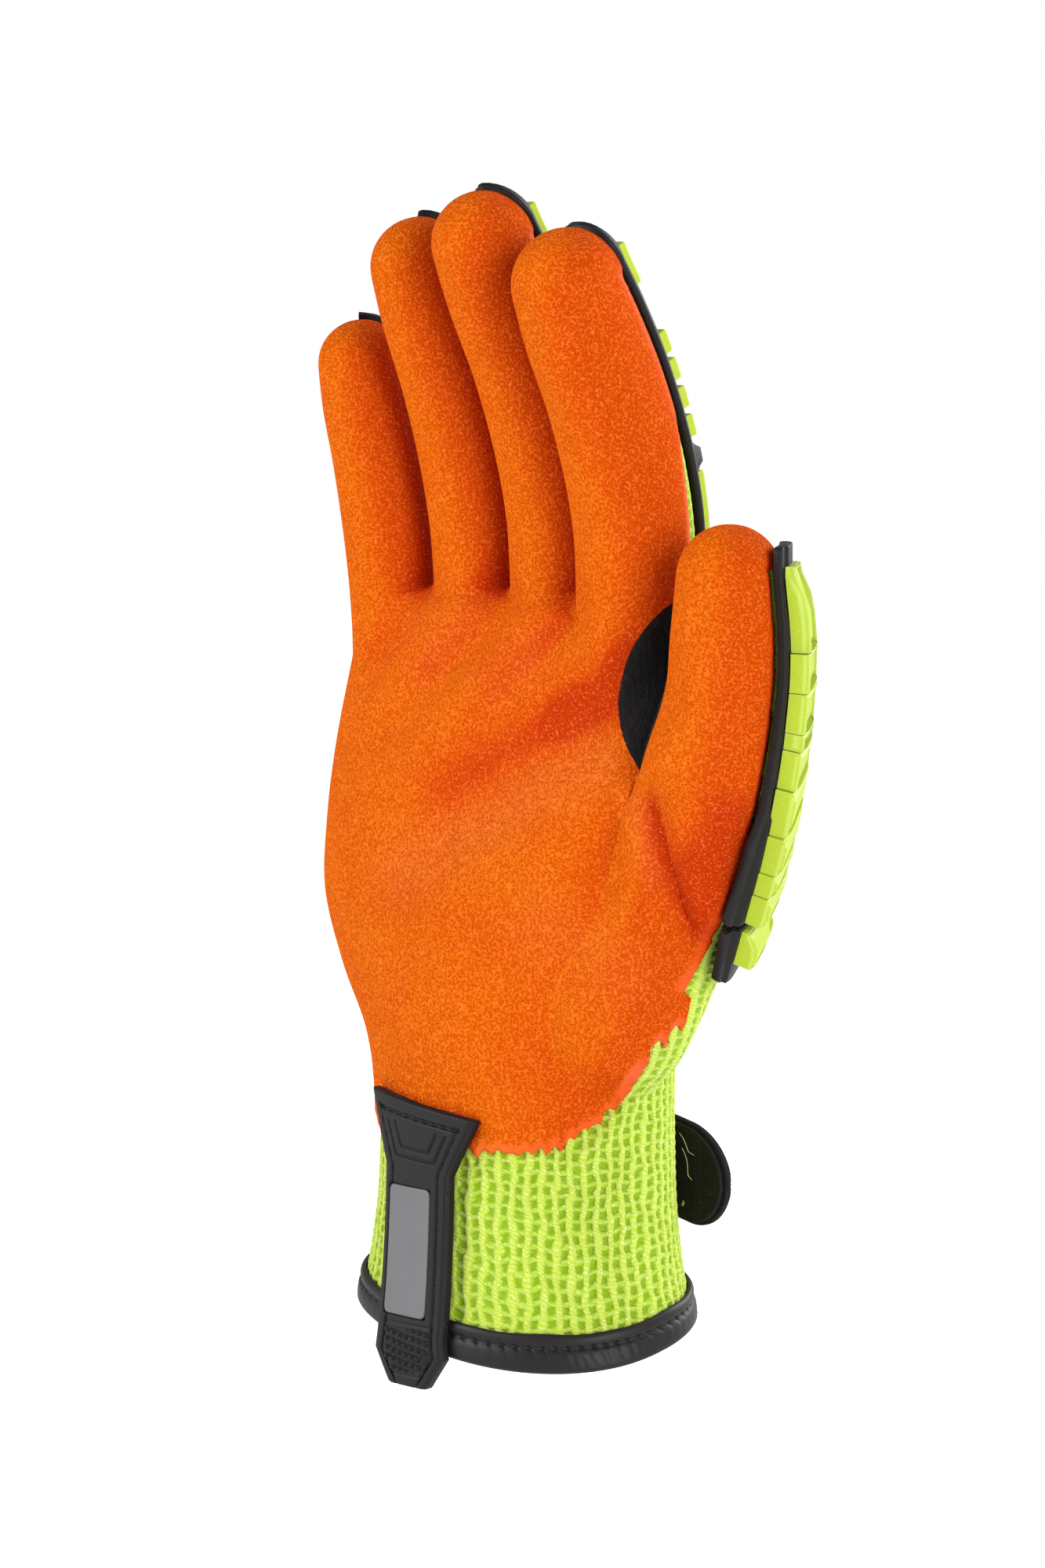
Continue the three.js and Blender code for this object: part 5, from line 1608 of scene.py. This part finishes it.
def block_solid(point_at, half, length, surface, top, chamfer, skirt=NO_SKIRT):
    """Block with upright walls and a chamfered top. point_at(x, along, height) gives its points, surface(x)
    is the height of what it stands on, and skirt gives how far its foot runs on at each end and how high
    that foot is."""
    side = np.linspace(-1, 1, 9)
    x = np.concatenate([side, np.ones(4), side[::-1], -np.ones(4)])
    t = np.concatenate([-np.ones(9), side[1:9:2] * 0.99, np.ones(9), -side[1:9:2] * 0.99])
    foot_low, foot_high, foot_top = skirt
    rings = []

    def add_ring(inset, height, run_low=0.0, run_high=0.0):
        along = np.where(t < 0, t * (length / 2 - inset + run_low), t * (length / 2 - inset + run_high))
        across = x * (half - inset)
        rings.append(point_at(across, along, height(across)))

    if foot_top > 0:
        add_ring(0, lambda a: surface(a) - 0.1, foot_low, foot_high)
        add_ring(0, lambda a: np.maximum(surface(a), 0) + foot_top - 0.5, foot_low, foot_high)
        add_ring(0.1, lambda a: np.maximum(surface(a), 0) + foot_top, foot_low - 0.4, foot_high - 0.4)
        add_ring(0.1, lambda a: np.maximum(surface(a), 0) + foot_top + 0.1)
    else:
        add_ring(0, lambda a: surface(a) - 0.1)
    add_ring(0, lambda a: np.full_like(a, top - chamfer))
    add_ring(chamfer, lambda a: np.full_like(a, top))
    rings = np.array(rings) * MM
    count, sides = rings.shape[:2]
    last = (count - 1) * sides
    caps = [list(range(sides))[::-1], list(range(last, last + sides))]
    return rings.reshape(-1, 3), quad_grid(count, sides, wrap=True), caps


class GLOVE_OT_blocks(bpy.types.Operator):
    """Build the raised lime blocks on the guards"""
    bl_idname = "glove.blocks"
    bl_label = "Blocks"

    def execute(self, context):
        for name in FINGERS:
            self.add_row(name, name, FINGER_BLOCKS, FINGER_CHAMFER)
        self.add_row("thumb", "thumb", thumb_rows(THUMB_BLOCKS_SEEN), THUMB_CHAMFER)
        self.add_row("thumb_base", "thumb", thumb_rows(THUMB_BASE_BLOCKS_SEEN), THUMB_CHAMFER)
        for label, columns, wide, low, high, tall in BACK_BLOCKS:
            for k, column in enumerate(columns):
                self.add_back_block(f"{label}_block_{k + 1}", column * PALM_WIDTH, wide * PALM_WIDTH / 2,
                                    low * PALM_HEIGHT, high * PALM_HEIGHT, tall)
        return {"FINISHED"}

    @staticmethod
    def add_row(label, name, rows, chamfer):
        """Blocks on a digit's guard: along its frames, upright to its back, on the guard's curved face."""
        digit = DIGIT[name]
        straight = name == "thumb"
        power = squareness(name)
        for k, (at, long, wide, tall) in enumerate(rows):
            half_width, half_depth = digit.at(at)[4:]
            slope = THUMB_TOP_SLOPE if straight and k == 0 else 0.0

            def point_at(x, t, height, at=at, long=long, slope=slope):
                p, _, side, back, _, tall_here = digit.at(at + t / digit.rise)
                cut = slope * smoothstep(0.0, 0.5, t / (long * digit.rise)) * (height > GUARD_TOP + 1.5)
                return p + side * x[:, None] + back * (tall_here + height - cut)[:, None]

            def surface(x, half_width=half_width, half_depth=half_depth):
                fall = np.clip(1 - np.abs(x / half_width) ** power, 0.02, 1) ** (1 / power)
                return GUARD_TOP - half_depth * (1 - fall)

            skirt = block_skirt(rows, at, long, digit.rise) if straight else NO_SKIRT
            part = block_solid(point_at, wide * half_width, long * digit.rise, surface, GUARD_TOP + tall,
                               chamfer, skirt)
            piece = add_solid(f"{label}_block_{k + 1}", part, "lime moulded rubber")
            add_bevel(piece, 0.3 * MM, 3)

    @staticmethod
    def add_back_block(node, x0, half, low, high, tall):
        """Block on the back of the hand, whose foot and top follow the palm's back."""
        def point_at(x, t, height):
            base = palm_side(x0 + x, (low + high) / 2 + t, 0.0, 1)
            return base + np.stack([0 * x, height, 0 * x], axis=-1)

        under = LAYER_GAP + BACK_GUARD_THICKNESS
        part = block_solid(point_at, half, high - low, lambda x: np.full_like(x, under), under + tall,
                           BLOCK_CHAMFER)
        piece = add_solid(node, part, "lime moulded rubber")
        add_bevel(piece, 0.35 * MM, 3)


def groove(distance, width, depth):
    """Soft groove along the zero line of a distance: -depth * exp(-(distance / width)^2)."""
    return -depth * np.exp(-(distance / width) ** 2)


def tab_half(z):
    """Half width of the pull tab up its length: flared top, straight shank and a tapered end."""
    half = TAB_WIDTH / 2
    heights = [TAB_BOTTOM, TAB_BOTTOM + TAB_WIDTH * 0.34, TAB_BOTTOM + TAB_WIDTH * 0.52,
               TAB_TOP - TAB_FLARE_HEIGHT, TAB_TOP]
    return np.interp(z, heights, [half * 0.58, half * 1.08, half, half, TAB_TOP_WIDTH / 2])


def tab_relief(x, z):
    """Height of the tab's face: a recess for the plate, a border groove with sunk stitches, nested grooves
    in the flared top and small raised squares in the tapered end."""
    half = tab_half(z)
    edge = half - np.abs(x)
    stitch = 0.5 + 0.5 * np.cos(2 * np.pi * z / STITCH_PITCH)
    face = groove(edge - 3.0, 0.28, 0.45 + 0.25 * stitch) * smoothstep(TAB_TOP - 1.5, TAB_TOP - 3.5, z)
    top = TAB_TOP - z
    across_stitch = 0.5 + 0.5 * np.cos(2 * np.pi * x / STITCH_PITCH)
    face += groove(top - 3.0, 0.4, 0.5 + 0.4 * across_stitch) * smoothstep(2.2, 2.8, edge)
    for inset, open_top in ((1.9, 4.9), (4.6, 4.9)):
        floor = TAB_FLARE_HEIGHT - 1.0 - inset * 0.75
        slope = (TAB_TOP_WIDTH - TAB_WIDTH) / 2 / TAB_FLARE_HEIGHT
        side = np.abs(x) - (TAB_TOP_WIDTH / 2 - 3.4 - inset - slope * top)
        face += groove(np.maximum(side, top - floor), 0.24, 0.6) * smoothstep(open_top - 0.3, open_top, top)
    plate_x = np.abs(x - PLATE_SHIFT) - PLATE_WIDTH / 2 - 0.15
    plate_z = np.abs(z - PLATE_TOP + PLATE_LENGTH / 2) - PLATE_LENGTH / 2 - 0.15
    face -= 0.75 * smoothstep(0.15, -0.15, np.maximum(plate_x, plate_z))
    low = PLATE_TOP - PLATE_LENGTH - 1.6
    inside = np.minimum(np.minimum(low - z, z - TAB_BOTTOM - 2.4), edge - 2.8)
    face += groove(inside, 0.2, 0.3) * (z < low + 1)
    squares = smoothstep(-0.25, 0.35, np.cos(2 * np.pi * x / 2.0)) \
        * smoothstep(-0.25, 0.35, np.cos(2 * np.pi * (z + 0.12 * x) / 1.9))
    return face + 0.75 * squares * smoothstep(0.5, 1.0, inside) * (z < low)


class GLOVE_OT_hem_binding(bpy.types.Operator):
    """Build the leatherette binding folded over the cuff's edge"""
    bl_idname = "glove.hem_binding"
    bl_label = "Hem binding"

    def execute(self, context):
        profile = smooth_rows(BINDING_PROFILE + BINDING_PROFILE[:1], 72)[:-1]
        angle = np.linspace(0, 2 * np.pi, 600, endpoint=False)[:, None]
        offset, z = profile[:, 0][None], profile[:, 1][None]
        radius = 0.25 * (HEM_WIDTH + HEM_DEPTH)
        stitches = round(2 * math.pi * radius / STITCH_PITCH)
        phase = stitches * angle + 2.2 * (z - 3.8)
        outside = smoothstep(0.6, 1.1, offset)
        dent = np.clip(np.cos(phase), 0, 1) ** 2 * np.exp(-((z - 3.75) / 0.45) ** 2)
        pull = 0.03 * np.cos(stitches * angle + 0.6) * np.exp(-((z - 2.6) / 1.4) ** 2)
        wrinkle = 0.07 * np.sin(95 * angle + 1.6 * z + 2 * np.sin(9 * angle)) \
            * np.exp(-((angle - 2 * np.pi + 0.35) / 0.35) ** 2) * np.exp(-((z - 2.0) / 1.6) ** 2)
        lift = (-0.5 * dent + pull + wrinkle) * outside
        wave = 0.12 * np.sin(7 * angle + 1) + 0.1 * np.sin(13 * angle)
        points = palm_points(angle, np.maximum(z, 0) + 0 * angle, offset + lift)
        points[..., 2] += np.minimum(z, 0) + wave * smoothstep(3.5, 6, z)
        faces = quad_grid(len(angle), profile.shape[0], wrap=True)
        count = len(angle) * profile.shape[0]
        ends = np.arange(profile.shape[0])
        ahead = (ends + 1) % profile.shape[0]
        last = (len(angle) - 1) * profile.shape[0]
        closing = np.stack([last + ends, last + ahead, ahead, ends], axis=1)
        mesh = make_mesh("hem_binding", points.reshape(count, 3) * MM, np.concatenate([faces, closing]))
        face_outwards(mesh)
        add_piece("hem_binding_leatherette", mesh, "black leatherette",
                  ["hem_binding"])
        return {"FINISHED"}


class GLOVE_OT_pull_tab(bpy.types.Operator):
    """Build the moulded pull tab and its reflective plate"""
    bl_idname = "glove.pull_tab"
    bl_label = "Pull tab"

    def execute(self, context):
        z = end_steps(TAB_BOTTOM, TAB_TOP, 0.5, 300, 5)

        def point_at(x, row, height):
            lean = 0.11 * x * smoothstep(20, 44, z[row])
            return palm_side(TAB_CENTRE + x, z[row] - lean, height, -1)

        def relief(x, row):
            crown = 0.25 * smoothstep(0, 0.6, tab_half(z[row]) - 0.6 - np.abs(x))
            return tab_relief(x, z[row]) + crown

        part = strip_solid(point_at, z, tab_half(z), TAB_UNDER, TAB_UNDER + TAB_THICKNESS - 0.25, 0.35,
                           (0.6, 0.6), 96, relief)
        add_solid("pull_tab", part, "black moulded rubber")
        rows = end_steps(PLATE_TOP - PLATE_LENGTH, PLATE_TOP, 1.4, 60)
        under = TAB_UNDER + TAB_THICKNESS - PLATE_THICKNESS

        def plate_at(x, row, height):
            return palm_side(TAB_CENTRE + PLATE_SHIFT + x, rows[row], height, -1)

        plate = strip_solid(plate_at, rows, np.full_like(rows, PLATE_WIDTH / 2), under,
                            under + PLATE_THICKNESS, 0.3, (1.5, 1.5), 24)
        add_solid("reflective_plate", plate, "grey reflective film")
        return {"FINISHED"}


def strap_droop(x):
    """How far the strap's free end hangs at x: the droop times a smooth step from where it leaves the
    back to its tip."""
    return STRAP_DROOP * smoothstep(STRAP_LEAVES_AT - 4, STRAP_REACH, x)


class GLOVE_OT_strap(bpy.types.Operator):
    """Build the wrist strap and the hook tape under its free end"""
    bl_idname = "glove.strap"
    bl_label = "Strap"

    def execute(self, context):
        x = end_steps(STRAP_START, STRAP_REACH, STRAP_WIDTH / 2, 120, 24)
        plane = palm_side(STRAP_LEAVES_AT, STRAP_HEIGHT, LAYER_GAP, 1)[1] + LAYER_GAP

        def point_at(side, row, height):
            at = x[row]
            back = palm_side(np.minimum(at, 26.0), STRAP_HEIGHT + side, height, 1)[..., 1]
            free = plane + height - LAYER_GAP
            weight = smoothstep(STRAP_LEAVES_AT - 5, STRAP_LEAVES_AT + 3, at)
            y = np.maximum(back * (1 - weight) + free * weight, np.where(at < STRAP_LEAVES_AT + 3, back, -99))
            return np.stack([at, y, STRAP_HEIGHT + side - strap_droop(at)], axis=-1)

        half = np.full_like(x, STRAP_WIDTH / 2)

        def weave(side, row):
            border = groove(STRAP_WIDTH / 2 - 1.6 - np.abs(side), 0.25, 0.3)
            return border + 0.1 * np.cos(2 * np.pi * side / 1.1)

        part = strip_solid(point_at, x, half, LAYER_GAP, LAYER_GAP + STRAP_THICKNESS - 0.1, 0.5,
                           (1.0, STRAP_WIDTH / 2), 66, weave)
        add_solid("wrist_strap", part, "black strap cloth")
        self.add_hook_tape(plane)
        return {"FINISHED"}

    @staticmethod
    def add_hook_tape(plane):
        """Tape under the free end, facing the palm side, covered with short hooks on a square grid."""
        end = STRAP_REACH - HOOK_MARGIN
        x = end_steps(end - HOOK_LENGTH, end, STRAP_WIDTH / 2 - HOOK_MARGIN, 40, 20)
        radius = STRAP_WIDTH / 2 - HOOK_MARGIN
        top = plane - LAYER_GAP

        def point_at(side, row, height):
            return np.stack([x[row], top - height, STRAP_HEIGHT + side - strap_droop(x[row])], axis=-1)

        def hooks(side, row):
            across, along = (np.clip(np.cos(2 * np.pi * place / 0.9), 0, 1) for place in (side, x[row]))
            return 0.22 * across * along

        tape = strip_solid(point_at, x, np.full_like(x, radius), 0.0, HOOK_THICKNESS - 0.2, 0.25,
                           (0.3, radius), 90, hooks)
        add_solid("hook_patch", tape, "black hook tape")


class GLOVE_OT_loose_threads(bpy.types.Operator):
    """Build the pale threads of the knit caught in the hook tape"""
    bl_idname = "glove.loose_threads"
    bl_label = "Loose threads"

    def execute(self, context):
        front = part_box("hook_patch")[0][1] - 0.15 * MM
        parts = [self.thread(front, *row) for row in LOOSE_THREADS]
        points, faces, caps, start = [], [], [], 0
        for part_points, part_faces, part_caps in parts:
            points.append(part_points)
            faces += (part_faces + start).tolist()
            caps += [[corner + start for corner in cap] for cap in part_caps]
            start += len(part_points)
        mesh = make_mesh("loose_threads", np.concatenate(points), faces, caps)
        face_outwards(mesh)
        add_piece("loose_threads", mesh, "pale thread")
        return {"FINISHED"}

    @staticmethod
    def thread(front, x, z, run, fall, curl):
        """Thread as a thin tube along start + run * t, falling by fall * t and curling by curl round a
        small circle."""
        t = np.linspace(0, 1, 28)
        centre = np.stack([x + run * t + curl * np.sin(5.5 * t), front / MM - 0.25 - 0.2 * np.sin(np.pi * t),
                           z + fall * t + curl * np.cos(5.5 * t) - curl], axis=-1)
        along = unit(np.gradient(centre, axis=0))
        side = unit(np.cross(along, [0.0, 1.0, 0.0]))
        up = np.cross(side, along)
        angle = np.arange(6) * 2 * np.pi / 6
        ring = centre[:, None] + 0.055 * (side[:, None] * np.cos(angle)[None, :, None]
                                         + up[:, None] * np.sin(angle)[None, :, None])
        return loft(ring * MM)


class GLOVE_PT_panel(bpy.types.Panel):
    """Panel in the sidebar that lists the glove's steps and values"""
    bl_idname = "GLOVE_PT_panel"
    bl_label = "Impact glove"
    bl_space_type = "VIEW_3D"
    bl_region_type = "UI"
    bl_category = "Glove"

    def draw(self, context):
        for step in STEPS:
            self.layout.operator(step.bl_idname)
        for group in (context.scene.glove_sizes, context.scene.glove_colours, context.scene.glove_stage):
            box = self.layout.box()
            for key in group.__annotations__:
                box.prop(group, key)


GROUPS = {"glove_sizes": GloveSizes, "glove_colours": GloveColours, "glove_stage": GloveStage}
STEPS = (GLOVE_OT_stage, GLOVE_OT_finishes, GLOVE_OT_knit, GLOVE_OT_coating, GLOVE_OT_guards,
         GLOVE_OT_blocks, GLOVE_OT_hem_binding, GLOVE_OT_pull_tab, GLOVE_OT_strap,
         GLOVE_OT_loose_threads)


def register():
    """Makes the settings, the steps and the panel known to the program."""
    for name, group in GROUPS.items():
        bpy.utils.register_class(group)
        setattr(bpy.types.Scene, name, bpy.props.PointerProperty(type=group))
    for step in STEPS:
        bpy.utils.register_class(step)
    bpy.utils.register_class(GLOVE_PT_panel)


def unregister():
    """Takes them out again, in the other order."""
    bpy.utils.unregister_class(GLOVE_PT_panel)
    for step in reversed(STEPS):
        bpy.utils.unregister_class(step)
    for name, group in GROUPS.items():
        delattr(bpy.types.Scene, name)
        bpy.utils.unregister_class(group)


def main():
    """Builds the glove step by step."""
    register()
    for step in STEPS:
        family, action = step.bl_idname.split(".")
        getattr(getattr(bpy.ops, family), action)()
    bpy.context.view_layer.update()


if __name__ == "__main__":
    main()
